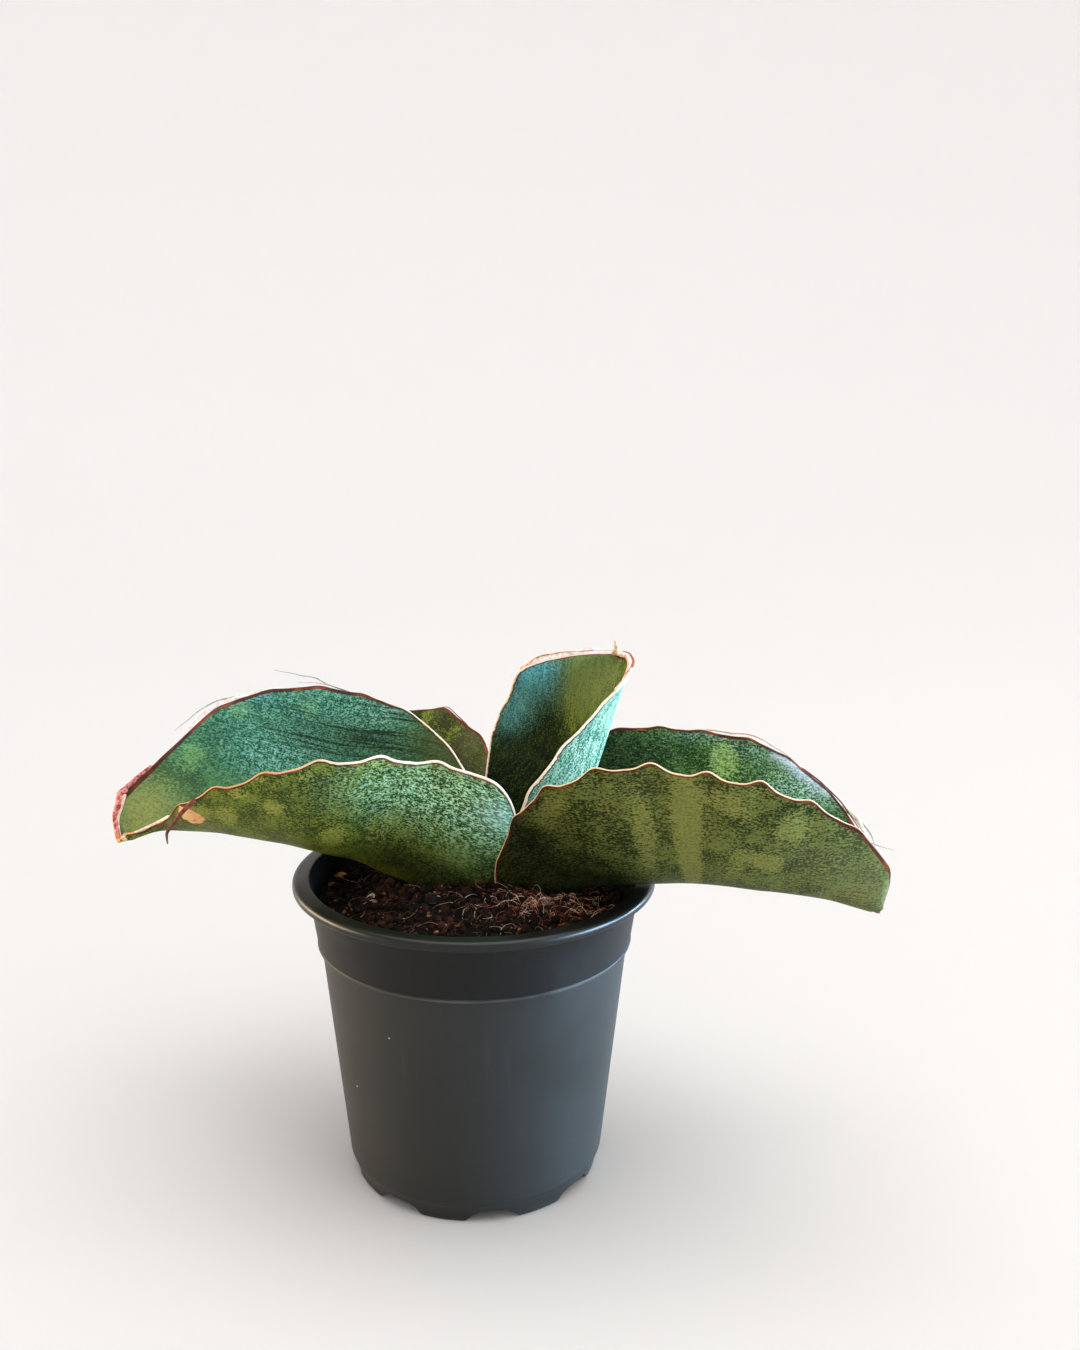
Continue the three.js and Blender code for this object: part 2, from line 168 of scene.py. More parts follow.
def dress(piece, material, replaces=None):
    """Gives a piece its material and tells the frame what it is."""
    piece.data.materials.clear()
    piece.data.materials.append(material)
    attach(piece, "root")
    if replaces:
        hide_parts(replaces)
    return piece


class Shader:
    """Short names for building a material's nodes. A tuple is a colour in 0-255 screen values."""

    def __init__(self, name):
        self.material = bpy.data.materials.new(name)
        self.material.use_nodes = True
        self.tree = self.material.node_tree
        self.shader = self.tree.nodes["Principled BSDF"]

    def node(self, kind, **inputs):
        made = self.tree.nodes.new("ShaderNode" + kind)
        for key, value in inputs.items():
            self.plug(made.inputs[int(key[1:]) if key[0] == "i" and key[1:].isdigit() else key], value)
        return made

    def plug(self, socket, value):
        if isinstance(value, bpy.types.NodeSocket):
            self.tree.links.new(value, socket)
        else:
            socket.default_value = linear(*value) if isinstance(value, tuple) else value

    def split(self, vector):
        return self.node("SeparateXYZ", i0=vector).outputs

    def field(self, name):
        """The three parts of one of the mesh's own attributes."""
        made = self.node("Attribute")
        made.attribute_name = name
        return self.split(made.outputs["Vector"])

    def math(self, operation, a, b=0.0, c=0.0, clamp=False):
        made = self.node("Math", i0=a, i1=b, i2=c)
        made.operation = operation
        made.use_clamp = clamp
        return made.outputs[0]

    def times(self, a, b, clamp=False):
        return self.math("MULTIPLY", a, b, clamp=clamp)

    def plus(self, a, b):
        return self.math("ADD", a, b)

    def larger(self, a, b):
        return self.math("MAXIMUM", a, b)

    def centred(self, value, gain):
        """A noise moved to run round 0, and made stronger."""
        return self.math("MULTIPLY_ADD", value, gain, -gain / 2)

    def noise(self, vector, scale=1.0, detail=2.0, rough=0.5, warp=0.0):
        return self.node("TexNoise", Vector=vector, Scale=scale, Detail=detail, Roughness=rough,
                         Distortion=warp).outputs["Fac"]

    def step(self, value, low, high, to_low=0.0, to_high=1.0):
        made = self.node("MapRange", i0=value, i1=low, i2=high, i3=to_low, i4=to_high)
        made.interpolation_type = "SMOOTHSTEP"
        return made.outputs[0]

    def mix(self, share, a, b):
        made = self.tree.nodes.new("ShaderNodeMix")
        made.data_type = "RGBA"
        self.plug(made.inputs[0], share)
        self.plug(made.inputs[6], a)
        self.plug(made.inputs[7], b)
        return made.outputs[2]

    def bump(self, height, strength, distance_mm):
        return self.node("Bump", Height=height, Strength=strength, Distance=distance_mm * MM).outputs[0]

    def finish(self, colour, roughness, specular, normal=None):
        self.plug(self.shader.inputs["Base Color"], colour)
        self.plug(self.shader.inputs["Roughness"], roughness)
        self.shader.inputs["Specular IOR Level"].default_value = specular
        if normal is not None:
            self.plug(self.shader.inputs["Normal"], normal)
        return self.material


# ---------------------------------------------------------------- leaf form
def along(values, t):
    """Smooth values at t (0..1) through evenly spaced ones."""
    values = np.asarray(values, float)
    last = len(values) - 1
    s = np.clip(t, 0, 1) * last
    i = np.minimum(np.floor(s).astype(int), last - 1)
    f = s - i
    if values.ndim > 1:
        f = f[..., None]
    first, end = 2 * values[0] - values[1], 2 * values[-1] - values[-2]
    padded = np.concatenate([[first], values, [end]])
    a, b, c, d = padded[i], padded[i + 1], padded[i + 2], padded[i + 3]
    cubic = (3 * b - a - 3 * c + d) * f**3
    return (2 * b + (c - a) * f + (2 * a - 5 * b + 4 * c - d) * f**2 + cubic) / 2


def unit(v):
    return v / np.linalg.norm(v, axis=-1, keepdims=True)


def waves(leaf, side, t):
    """The margin's wave, narrow crests between wide troughs, dying out at the base and the tip."""
    turn = 2 * pi * leaf.waves * t + leaf.phase[side]
    fade = smooth(t, *WAVE.fade_in) * (1 - smooth(t, *WAVE.fade_out))
    crest = ((1 + np.sin(turn)) / 2) ** 2
    level = WAVE.trough + (WAVE.crest - WAVE.trough) * crest
    level = level + WAVE.drift * np.sin(WAVE.pitch * turn + 1)
    return leaf.waviness[side] * fade * level


def middle_surface(leaf, t, v, extra=0.0):
    """Points of the leaf's middle surface on the grid t (base to tip) by v (-1..1)."""
    keel = along(leaf.keel, t)
    ahead = along(leaf.keel, np.minimum(t + KEEL_SPAN, 1))
    behind = along(leaf.keel, np.maximum(t - KEEL_SPAN, 0))
    forward = unit(ahead - behind)
    across = unit(np.cross(forward, np.array(leaf.inward, float)))
    up = np.cross(across, forward)
    roll = np.radians(along(leaf.roll, t))[:, None]
    across, up = (across * np.cos(roll) + up * np.sin(roll),
                  up * np.cos(roll) - across * np.sin(roll))
    a = np.abs(v)[None, :]
    fold = np.radians(along(leaf.fold, t))[:, None]
    left = v[None, :] < 0
    wave = np.where(left, waves(leaf, "left", t)[:, None], waves(leaf, "right", t)[:, None])
    width = np.where(left, along(leaf.left, t)[:, None], along(leaf.right, t)[:, None])
    tip_share = TIP_TURN * np.clip((t - 1 + leaf.tip_round) / leaf.tip_round, 0, 1)[:, None]
    ripple = wave * a ** WAVE.power
    width = width * np.sqrt(1 - tip_share**2) + WAVE.along * ripple + extra
    rounded = lambda x: np.hypot(x, KEEL_ROUNDING) - KEEL_ROUNDING
    rise = rounded(a) / rounded(1)
    bow = BELLY * width * 4 * a * (1 - a) - WAVE.inward * ripple
    outward = (width * np.cos(fold) * a + bow * np.sin(fold)) * np.where(left, -1, 1)
    upward = width * np.sin(fold) * rise - bow * np.cos(fold)
    return (keel[:, None] + across[:, None] * outward[..., None]
            + up[:, None] * upward[..., None])


def rough(points, size, seed=0.0):
    """Smooth noise, about -1..1, at points in mm with features of the given size."""
    moved = Vector((seed, 2.7 * seed, -1.3 * seed))
    return np.array([noise.noise(Vector(p) / size + moved) for p in points])


def stroke(s, w, place, hardness):
    """One soft mark at (s, w) mm, reaching (rs, rw) mm, of the given strength."""
    s0, w0, rs, rw, strength = place
    return strength * np.exp(-(((s - s0) / rs) ** 2 + ((w - w0) / rw) ** 2) ** hardness)


def painted(strokes, key, s, w):
    """All marks of one kind on a face; the pale and the dry ones have harder edges."""
    marks = [stroke(s, w, place, 1.5 if key in ("pale", "dry") else 1.0) for place in strokes.get(key, ())]
    return np.clip(sum(marks, np.zeros_like(s)), 0, 1)


EDGE_ARC = np.radians([60, 30, 0, -30, -60])  # the margin's rounding, between the two faces
TIP_ARC = np.radians([0, 35, 65, 85])


def leaf_grid(leaf, rows, columns):
    """The grid t by v, finer at the tip and at the margins."""
    start = 1 - leaf.tip_round
    end = np.sin(np.linspace(0, asin(TIP_TURN), TIP_ROWS + 1)) / TIP_TURN
    t = np.concatenate([np.linspace(0, start, rows - TIP_ROWS, endpoint=False),
                        start + leaf.tip_round * end])
    half = np.sin(np.linspace(0, 1, columns + 1) * pi / 2)
    v = np.concatenate([-half[::-1], half[1:]])
    return t, v


def leaf_piece(name, leaf, look, rows=200, columns=28):
    """A leaf as a closed, fine mesh that carries its markings as attributes."""
    t, v = leaf_grid(leaf, rows, columns)
    middle = middle_surface(leaf, t, v, -MARGIN_THICKNESS / 2)
    keel = middle[:, columns]
    s_row = np.concatenate([[0], np.cumsum(np.linalg.norm(np.diff(keel, axis=0), axis=1))])
    steps = np.linalg.norm(np.diff(middle, axis=1), axis=2)
    w = np.concatenate([np.zeros((rows + 1, 1)), np.cumsum(steps, axis=1)], axis=1)
    w -= w[:, columns:columns + 1]
    s = np.repeat(s_row[:, None], len(v), axis=1)
    reach = np.where(v < 0, -w[:, :1], w[:, -1:])
    tip_steps = np.linalg.norm(np.diff(middle[::-1], axis=0), axis=2)
    from_tip = np.concatenate([np.zeros((1, len(v))), np.cumsum(tip_steps, axis=0)])[::-1]
    edge = np.minimum(reach - np.abs(w), from_tip)

    crosswise = np.gradient(middle, axis=1)
    lengthwise = np.gradient(middle, axis=0)
    normal = unit(np.cross(crosswise, lengthwise))
    # gentle unevenness of the blade, none at the margins, and a crumpled dry tip
    flat = middle.reshape(-1, 3)
    uneven = rough(flat, 17, look.seed) * 0.45 + rough(flat, 8, look.seed + 5) * 0.12
    uneven = uneven.reshape(w.shape) * smooth(edge, 0, 12)
    near_tip = 1 - smooth(from_tip, 0, look.crumple_reach)
    crumple = rough(flat, 2.6, look.seed + 9).reshape(w.shape) * look.crumple * near_tip
    middle = middle + normal * (uneven + crumple)[..., None]

    a = np.abs(v)[None, :]
    rib = leaf.rib + (TIP_RIB - leaf.rib) * t[:, None]
    thick = rib + (MARGIN_THICKNESS - rib) * a**RIB_FALL
    outwards = unit(crosswise) * np.where(v < 0, -1, 1)[None, :, None]
    forward = unit(lengthwise)

    loops, places = [], []
    last = len(v) - 1
    ones = np.ones(len(EDGE_ARC))
    rail = lambda row: np.concatenate([row, ones * row[last], row[::-1], ones * row[0]])
    up_arc = (1 + np.sin(EDGE_ARC)) / 2
    face_row = np.concatenate([np.ones(last + 1), up_arc, np.zeros(last + 1), 1 - up_arc])
    ends = TIP_ARC[1:]
    for i in list(range(rows + 1)) + [rows] * len(ends):
        k = len(loops) - rows
        turn = ends[k - 1] if k > 0 else 0.0
        bulge = thick[i] / 2 * sin(turn)
        half_thick = thick[i] / 2 * cos(turn)
        row = middle[i] + forward[i] * bulge[:, None]
        inner = row + normal[i] * half_thick[:, None]
        outer = row - normal[i] * half_thick[:, None]

        def arc(j, angles):
            return [row[j] + (outwards[i, j] * cos(x) + normal[i, j] * sin(x))
                    * half_thick[j] for x in angles]
        loops.append(np.concatenate([inner, arc(last, EDGE_ARC), outer[::-1],
                                     arc(0, EDGE_ARC[::-1])]))
        beyond = -np.cos(EDGE_ARC) * half_thick[last]
        distance = np.concatenate([edge[i] - bulge, beyond, edge[i][::-1] - bulge[::-1], beyond])
        places.append(np.stack([rail(s[i]), rail(w[i]), distance], axis=1))
    place = np.concatenate(places)
    ps, pw = place[:, 0], place[:, 1]
    face = np.tile(face_row, len(loops))

    def layer(*keys):
        """Up to three kinds of mark, one in each place of a vector."""
        found = [painted(look.out, key, ps, pw) * (1 - face)
                 + painted(look.inn, key, ps, pw) * face for key in keys]
        return np.stack(found + [ps * 0] * (3 - len(keys)), axis=1)
    rim = np.stack([ps * 0, ps * 0, face], axis=1)
    for column, widths in enumerate((look.cream, look.maroon)):
        for side, sign in (("left", -1), ("right", 1)):
            chosen = np.sign(pw) == sign
            rim[chosen, column] = along(widths[side], ps / s_row[-1])[chosen]
        rim[pw == 0, column] = rim[:, column].max() * 0.5

    loop = len(loops[0])
    faces = bands(len(loops), loop)
    n = len(EDGE_ARC)
    for i, flipped in ((0, False), (len(loops) - 1, True)):
        inner_at = lambda j: i * loop + j
        outer_at = lambda j: i * loop + (last + 1) + n + (last - j)
        caps = [(inner_at(j), outer_at(j), outer_at(j + 1), inner_at(j + 1)) for j in range(last)]
        caps.append([inner_at(last)] + [outer_at(last)]
                    + [i * loop + last + 1 + q for q in reversed(range(n))])
        caps.append([outer_at(0), inner_at(0)] + [i * loop + loop - 1 - q for q in range(n)])
        faces += [f[::-1] if flipped else f for f in caps]
    # Besides the leaf's own marks these carry painted light: shade, a sheen and gloss highlights.
    return mesh_object(name, np.concatenate(loops), faces, {
        "place": place, "tone": layer("pale", "bloom", "dry"), "rim": rim,
        "painted_shade_and_warm": layer("dark", "warm", "furrow"), "painted_gloss_and_light_tone": layer("gloss", "light")})


# ---------------------------------------------------------------- leaf looks
def random_marks(rng, length, reach, sides, count):
    """Pale cross marks for the faces that the strokes leave plain."""
    marks = []
    s = rng.uniform(6, 14)
    for _ in range(count):
        for side in sides:
            w = side * rng.uniform(0.25, 0.85) * reach
            marks.append((s + rng.uniform(-4, 4), w, rng.uniform(2.5, 5), rng.uniform(5, 16),
                          rng.uniform(0.45, 0.85)))
        s += rng.uniform(0.7, 1.3) * length / count
    return marks


CREAM, TAN, PEACH, STRAW = (242, 224, 198), (206, 154, 104), (214, 156, 100), (214, 178, 122)
# The last of these is painted shade, laid on the leaves by the dark and furrow marks.
MAROON, RUST, PAINTED_SHADE_GREEN = (70, 24, 20), (158, 66, 38), (12, 18, 10)


# The gloss colour is a painted highlight, a reflection laid into the colour.
def hues(*colours):
    """The colours of one face of a leaf, by name."""
    return dict(zip(("dark", "mid", "pale", "bloom", "warm", "light", "gloss", "under"), colours))


# out and inn are the marks on a leaf's outer and inner face. A mark is its place along the keel and
# across it, its reach both ways, all in mm, and its strength.
# The bloom marks are a waxy speckle that is partly a painted sheen.
# The dark marks are painted shade, towards the base, by the soil and under folds.
# The furrow marks are grooves that also take painted shade.
# The gloss marks are painted highlights along the margins.
LEFT_LOOK = Named(
    seed=3.0, crumple=1.7, crumple_reach=9, tan_from=(36, 78), aged_hue=TAN, torn=0.8,
    cream=dict(left=[0.4, 0.4, 0.35, 0.2, 0.05, -0.2, -0.3, 0.2],
               right=[0.4, 0.3, 0.1, -0.5, -0.9, -0.6, -0.9, -0.9]),
    maroon=dict(left=[0.5, 0.55, 0.6, 0.6, 0.7, 0.8, 0.9, 0.6],
                right=[0.4, 0.4, 0.6, 1.0, 1.1, 1.1, 1.5, 2.6]),
    out=dict(
        pale=[(93, -23, 4.2, 5, 0.8), (84, -22, 4.2, 7, 0.8), (80, -36, 4, 3.5, 0.66),
            (69, -31, 4.2, 4.2, 0.95), (50, -20, 4.6, 7, 0.9), (75, -43, 5, 3, 0.55),
            (61, -48, 4, 4, 0.45), (43, -55, 7, 3.5, 0.5), (100, -24, 4, 3, 0.4), (37, -24, 5, 9, 0.45),
            (26, -30, 6, 5, 0.35), (58, -26, 4, 4, 0.35)],
        bloom=[(19, -47, 18, 14, 1.0), (11, -50, 10, 10, 0.8), (42, -43, 14, 11, 0.6)],
        warm=[(42, -12, 34, 8, 0.5), (95, -18, 30, 20, 0.4), (15, -14, 16, 8, 0.5)],
        light=[(13, -27, 4, 13, 0.6), (19, -18, 5, 7, 0.35)],
        gloss=[(11, -50, 5, 6, 0.5)],
        dark=[(5, -8, 12, 20, 0.6), (27, -14, 18, 9, 0.85), (16, -18, 14, 8, 0.5),
            (52, -38, 16, 10, 0.2)],
        dry=[(96.6, -18.6, 4.8, 5, 1.0), (124, -3, 1.4, 10, 0.6)],
    ),
    inn=dict(
        pale=[(102, 31, 3.6, 4, 0.85), (103, 25.5, 5, 2.5, 0.45), (91, 51, 3.4, 4, 0.8),
            (70, 57, 3.4, 4, 0.8), (73, 66, 9, 3, 0.4), (109, 18, 7, 6, 0.4), (85, 40, 6, 3, 0.35),
            (60, 66, 5, 3, 0.3), (97, 42, 4, 3, 0.3)],
        bloom=[(57, 63, 14, 9, 0.8), (45, 60, 7, 7, 0.6), (76, 33, 16, 8, 0.85), (86, 60, 14, 8, 0.45),
            (60, 45, 30, 16, 0.4), (84, 44, 12, 8, 0.3)],
        warm=[(28, 56, 9, 15, 1.0), (18, 46, 11, 14, 1.0), (104, 22, 12, 14, 0.35)],
        light=[(119, 8, 9, 16, 0.95), (110, 10, 8, 8, 0.4)],
        gloss=[(88, 58, 5, 3, 0.25), (40, 63, 6, 3, 0.3)],
        dark=[(60, 50, 22, 7, 0.45), (46, 46, 14, 8, 0.4), (97, 38, 8, 8, 0.25)],
        furrow=[(68, 47, 30, 14, 1.0), (45, 57, 16, 12, 1.0)],
        dry=[(126.6, 4, 1.0, 12, 0.8)],
    ),
    grain=(0.6, 0.8),
    out_hues=hues((36, 52, 14), (102, 114, 36), (158, 158, 72), (176, 216, 164),
                  (100, 104, 36), (128, 142, 66), (186, 224, 212), (44, 104, 62)),
    inn_hues=hues((34, 78, 52), (72, 122, 80), (128, 168, 96), (128, 190, 168),
                  (74, 76, 18), (146, 152, 84), (130, 190, 190), (48, 114, 96)),
)
RIGHT_LOOK = Named(
    seed=11.0, crumple=0.9, crumple_reach=6, tan_from=(-20, -10), aged_hue=(232, 204, 160), torn=0.8,
    cream=dict(left=[-0.6, -0.6, -0.5, -0.1, -0.2, -0.3, -0.6, -0.9],
               right=[0.3, -0.1, -0.2, -0.1, -0.1, -0.2, -0.3, -0.7]),
    maroon=dict(left=[0.6, 0.6, 0.7, 0.8, 0.9, 0.7, 0.8, 1.5],
                right=[0.6, 0.9, 0.6, 0.5, 0.5, 0.6, 1.0, 1.6]),
    out=dict(
        pale=[(66.5, 38, 5, 24, 1.0), (66.5, 12, 3.6, 16, 0.75), (54.5, 36, 4.2, 19, 0.72),
            (53, 14, 3.5, 8, 0.4), (33.5, 46, 4.5, 5, 0.65), (28, 40, 5.5, 4.5, 0.6),
            (77, 48, 6.5, 6, 0.6), (83, 25, 5, 5, 0.7), (80, 17.5, 4, 4, 0.6), (91, 22.5, 5, 5, 1.0),
            (96, 37.5, 5.5, 7, 0.8), (88, 52, 6, 3, 0.45), (82, 43, 5, 5, 0.4), (121, 10, 7, 8, 0.5),
            (108, 22, 9, 7, 0.4), (45, 43, 4, 6, 0.4)],
        warm=[(66, 36, 14, 30, 0.25)],
        light=[(124, 12, 12, 18, 0.55), (106, 22, 16, 16, 0.25)],
        dark=[(10, 18, 16, 26, 1.0), (30, 6, 28, 15, 1.0), (16, 38, 12, 16, 0.5),
            (34, 30, 18, 20, 0.35)],
        dry=[(129.5, 2, 1.4, 16, 0.5)],
    ),
    inn=dict(
        pale=[(71.5, -50, 4.4, 8, 0.9), (90, -44, 6, 6, 0.4), (78, -46, 5, 8, 0.3)],
        bloom=[(99, -42, 12, 6, 0.75), (66, -59, 10, 3, 0.4), (82, -54, 8, 4, 0.35)],
        light=[(100, -38, 14, 8, 0.25)],
        gloss=[(90, -53.5, 3, 2.2, 1.0), (94, -51, 3, 2.2, 1.0), (98, -48.3, 3, 2.4, 1.0),
            (102, -45.3, 3, 2.2, 0.9), (106, -42, 3.5, 2, 0.7), (66, -61.5, 8, 1.6, 0.4)],
        dark=[(42, -50, 16, 14, 0.7), (20, -40, 20, 30, 0.7)],
        furrow=[(62, -53.5, 14, 1.2, 1.0)],
        dry=[(129.5, 2, 1.4, 16, 0.5)],
    ),
    grain=(0.85, 0.42),
    out_hues=hues((28, 38, 12), (94, 104, 50), (130, 132, 66), (150, 170, 140),
                  (104, 106, 44), (122, 128, 84), (160, 180, 160), (64, 84, 40)),
    inn_hues=hues((22, 52, 20), (72, 104, 52), (156, 184, 104), (190, 226, 206),
                  (92, 92, 40), (128, 172, 118), (220, 240, 252), (60, 122, 84)),
)
CENTRE_LOOK = Named(
    seed=23.0, crumple=1.1, crumple_reach=7, tan_from=(84, 100), aged_hue=(226, 178, 154), torn=1.7,
    cream=dict(left=[0.4, 0.4, 0.3, 0.2, 0.2, 0.3, 0.6], right=[0.5, 0.5, 0.5, 0.4, 0.3, 0.2, 0.6]),
    maroon=dict(left=[0.4, 0.4, 0.4, 0.4, 0.4, 0.6, 1.0], right=[0.4, 0.5, 0.6, 0.6, 0.6, 0.8, 1.2]),
    out=dict(
        pale=[(76, 7, 6, 5, 0.6), (62, 12, 5, 6, 0.4)],
        bloom=[(60, 8, 48, 16, 0.6), (60, -20, 40, 30, 0.3)],
        dark=[(8, 0, 12, 20, 0.5)],
        dry=[(101, 0, 1.6, 10, 0.5)],
    ),
    inn=dict(
        pale=[(79, -16, 5, 4, 0.62), (71, -15, 5, 3.5, 0.55), (88, -14, 7, 6, 0.4)],
        bloom=[(72, -37, 13, 6, 0.95), (64, -38, 9, 4, 0.6), (85, -28, 8, 6, 0.7)],
        gloss=[(85, -30, 9, 7, 0.85), (72, -36, 12, 6, 0.75), (58, -39, 12, 4, 0.5)],
        light=[(96, -10, 14, 14, 1.0), (84, -12, 12, 9, 0.6)],
        warm=[(80, -12, 14, 9, 0.6)],
        dark=[(44, -30, 20, 15, 0.95), (60, -23, 16, 7, 0.75), (25, -12, 26, 22, 1.0)],
        furrow=[(60, -24, 30, 14, 0.45)],
        dry=[(102, 0, 1.6, 10, 0.7)],
    ),
    grain=(1.9, 0.6),
    out_hues=hues((36, 92, 70), (110, 150, 122), (180, 196, 158), (192, 206, 178),
                  (110, 150, 100), (170, 200, 150), (220, 244, 238), (82, 130, 102)),
    inn_hues=hues((14, 34, 10), (72, 104, 36), (156, 168, 52), (150, 220, 206),
                  (118, 128, 46), (132, 146, 82), (104, 176, 178), (20, 84, 86)),
)
BACK_LOOK = Named(
    seed=31.0, crumple=0.5, crumple_reach=5, tan_from=(150, 200), aged_hue=TAN, torn=0.8,
    cream=dict(left=[0.0] * 7, right=[0.0, -0.2, -0.4, -0.7, -0.7, -0.4, 0.0]),
    maroon=dict(left=[0.6] * 7, right=[0.6, 0.6, 0.6, 0.6, 0.5, 0.4, 0.4]),
    out=dict(
        pale=[],
        dark=[(6, 0, 14, 30, 0.6)],
    ),
    inn=dict(
        pale=[(62, 41, 2.8, 7, 0.75), (51, 37, 8, 6, 0.4), (45, 42, 4, 3, 0.4)],
        warm=[(45, 36, 30, 20, 0.2)],
        dark=[(15, 20, 18, 25, 0.7)],
    ),
    grain=(0.9, 0.9),
    out_hues=hues((38, 52, 18), (88, 102, 36), (142, 150, 68), (140, 170, 140),
                  (104, 108, 40), (128, 136, 70), (160, 180, 150), (60, 76, 30)),
    inn_hues=hues((12, 26, 4), (44, 64, 10), (112, 134, 40), (140, 160, 110),
                  (60, 62, 10), (110, 116, 40), (160, 180, 150), (50, 70, 20)),
)
LOOKS = dict(leaf_left=LEFT_LOOK, leaf_right=RIGHT_LOOK, leaf_centre=CENTRE_LOOK, leaf_back=BACK_LOOK)

# The faces that the strokes leave plain get cross marks of their own.
marks = random.Random(7)
for name, side, length, reach, sides, count in (
        ("leaf_left", "out", 120, 60, (1,), 7), ("leaf_left", "inn", 120, 52, (-1,), 7),
        ("leaf_right", "out", 124, 58, (-1,), 7), ("leaf_right", "inn", 124, 56, (1,), 7),
        ("leaf_centre", "out", 95, 40, (-1,), 5), ("leaf_back", "out", 80, 40, (-1, 1), 5)):
    getattr(LOOKS[name], side)["pale"] += random_marks(marks, length, reach, sides, count)


def leaf_material(name, look):
    """A leaf's skin: blotches, waxy speckle with a painted sheen, soil marks, painted gloss and painted
    shade, and its dry and dark margins.
    """
    m = Shader(name)
    s, w, d = m.field("place")  # along the keel, across it, and in from the margin, mm
    # pale marks, a waxy speckle that is partly a painted sheen, and dry patches
    pale, bloom, dry = m.field("tone")
    # painted shade, then a warm olive tone, then the furrows, which take painted shade too
    dark, warm, furrow = m.field("painted_shade_and_warm")
    # a painted highlight first, then a light tone
    gloss, light, _ = m.field("painted_gloss_and_light_tone")
    cream, maroon, face = m.field("rim")

    def at(across_s, across_w):
        return m.node("CombineXYZ", i0=m.math("DIVIDE", s, across_s),
                      i1=m.math("DIVIDE", w, across_w), i2=m.times(face, 41.0)).outputs[0]

    def hue(key):
        return m.mix(face, look.out_hues[key], look.inn_hues[key])
    grain_s, grain_w = look.grain
    broad = m.noise(at(9, 9), detail=3, rough=0.6)
    mottle = m.noise(at(2.9 * grain_s, 2.5 * grain_w), detail=5, rough=0.78)
    fine = m.noise(at(0.8, 0.65), detail=2, rough=0.65)
    other = m.noise(at(2.3 * grain_s, 2.0 * grain_w), detail=5, rough=0.82)
    lines = m.noise(at(30, 1.3), detail=1.5, rough=0.5, warp=0.35)

    ragged = m.plus(m.centred(mottle, 2.6), m.centred(fine, 3.2))
    base = m.plus(ragged, m.centred(broad, 2.0))
    colour = m.mix(m.step(base, -0.27, 0.27), hue("dark"), hue("mid"))
    scatter = m.math("MULTIPLY_ADD", other, 1.9, m.math("MULTIPLY_ADD", ragged, 0.4, -0.95))
    in_pale = m.step(m.plus(pale, scatter), 0.34, 0.66, 0, 0.85)
    faint = m.step(m.plus(scatter, m.times(base, 0.2)), 0.12, 0.4, 0, 0.42)
    soiled = m.mix(m.step(ragged, -0.4, 0.3, 0.9, 0.0), hue("pale"), hue("mid"))
    colour = m.mix(m.larger(in_pale, faint), colour, soiled)
    colour = m.mix(m.times(warm, m.step(ragged, -0.7, 0.5, 0.45, 0.95)), colour, hue("warm"))
    colour = m.mix(m.times(light, m.step(ragged, -0.7, 0.4, 0.5, 1.0)), colour, hue("light"))
    # the waxy speckle, and the colour under it, are partly a painted sheen
    under = m.times(m.math("MINIMUM", bloom, 1.0), m.step(base, -0.6, 0.6, 0.9, 0.6))
    colour = m.mix(under, colour, m.mix(m.step(ragged, -0.5, 0.5), hue("dark"), hue("under")))
    flecks = m.noise(at(3.0 * grain_s, 2.6 * grain_w), detail=6, rough=0.85)
    speck = m.step(m.plus(m.centred(flecks, 3.2), m.centred(fine, 2.0)), -0.12, 0.3)
    colour = m.mix(m.times(bloom, speck, clamp=True), colour, hue("bloom"))
    # painted highlight: the gloss marks lay a smooth pale reflection on the blade
    colour = m.mix(m.times(gloss, m.step(ragged, -0.7, 0.6, 0.4, 1.0)), colour, hue("gloss"))
    # painted shade: the dark marks darken the blade towards its base, by the soil and under folds
    colour = m.mix(m.times(dark, m.step(ragged, -0.6, 0.6, 0.95, 0.7)), colour, PAINTED_SHADE_GREEN)
    # painted shade: the furrows are darkened as well as sunk by the bump
    groove_and_painted_shade = m.times(m.step(lines, 0.49, 0.38), furrow)
    colour = m.mix(m.times(groove_and_painted_shade, 0.7), colour, PAINTED_SHADE_GREEN)

    wobble = m.noise(at(2.0, 400), detail=3, rough=0.6)
    far = m.math("MULTIPLY_ADD", wobble, -look.torn, m.plus(d, look.torn / 2))
    band = m.plus(m.larger(cream, 0.0), maroon)
    in_maroon = m.step(m.math("SUBTRACT", far, band), 0.2, -0.2)
    in_cream = m.step(m.math("SUBTRACT", far, cream), 0.12, -0.15)
    patchy = m.noise(at(7, 30), detail=2)
    edge_dark = m.mix(m.step(patchy, 0.45, 0.7, 0, 0.8), MAROON, RUST)
    colour = m.mix(m.times(in_maroon, 0.92), colour, edge_dark)
    aged = m.larger(m.step(patchy, 0.52, 0.74), m.step(s, *look.tan_from))
    aged = m.larger(aged, m.step(s, 14, 4))
    colour = m.mix(in_cream, colour, m.mix(aged, CREAM, look.aged_hue))

    flaky = m.noise(at(2.2, 2.2), detail=4, rough=0.7, warp=0.5)
    in_dry = m.step(m.plus(dry, m.centred(flaky, 1.2)), 0.42, 0.58)
    crisp = m.mix(m.step(flaky, 0.33, 0.42), RUST, m.mix(m.step(patchy, 0.4, 0.6), STRAW, PEACH))
    colour = m.mix(in_dry, colour, crisp)

    roughness = m.larger(m.step(mottle, 0.3, 0.7, 0.42, 0.52), m.times(in_maroon, 0.62))
    leather = m.noise(at(2.4, 0.7), detail=3)
    relief = m.plus(m.times(leather, 0.4), m.times(groove_and_painted_shade, -1.6))
    return m.finish(colour, roughness, 0.1, m.bump(relief, 0.6, 0.14))


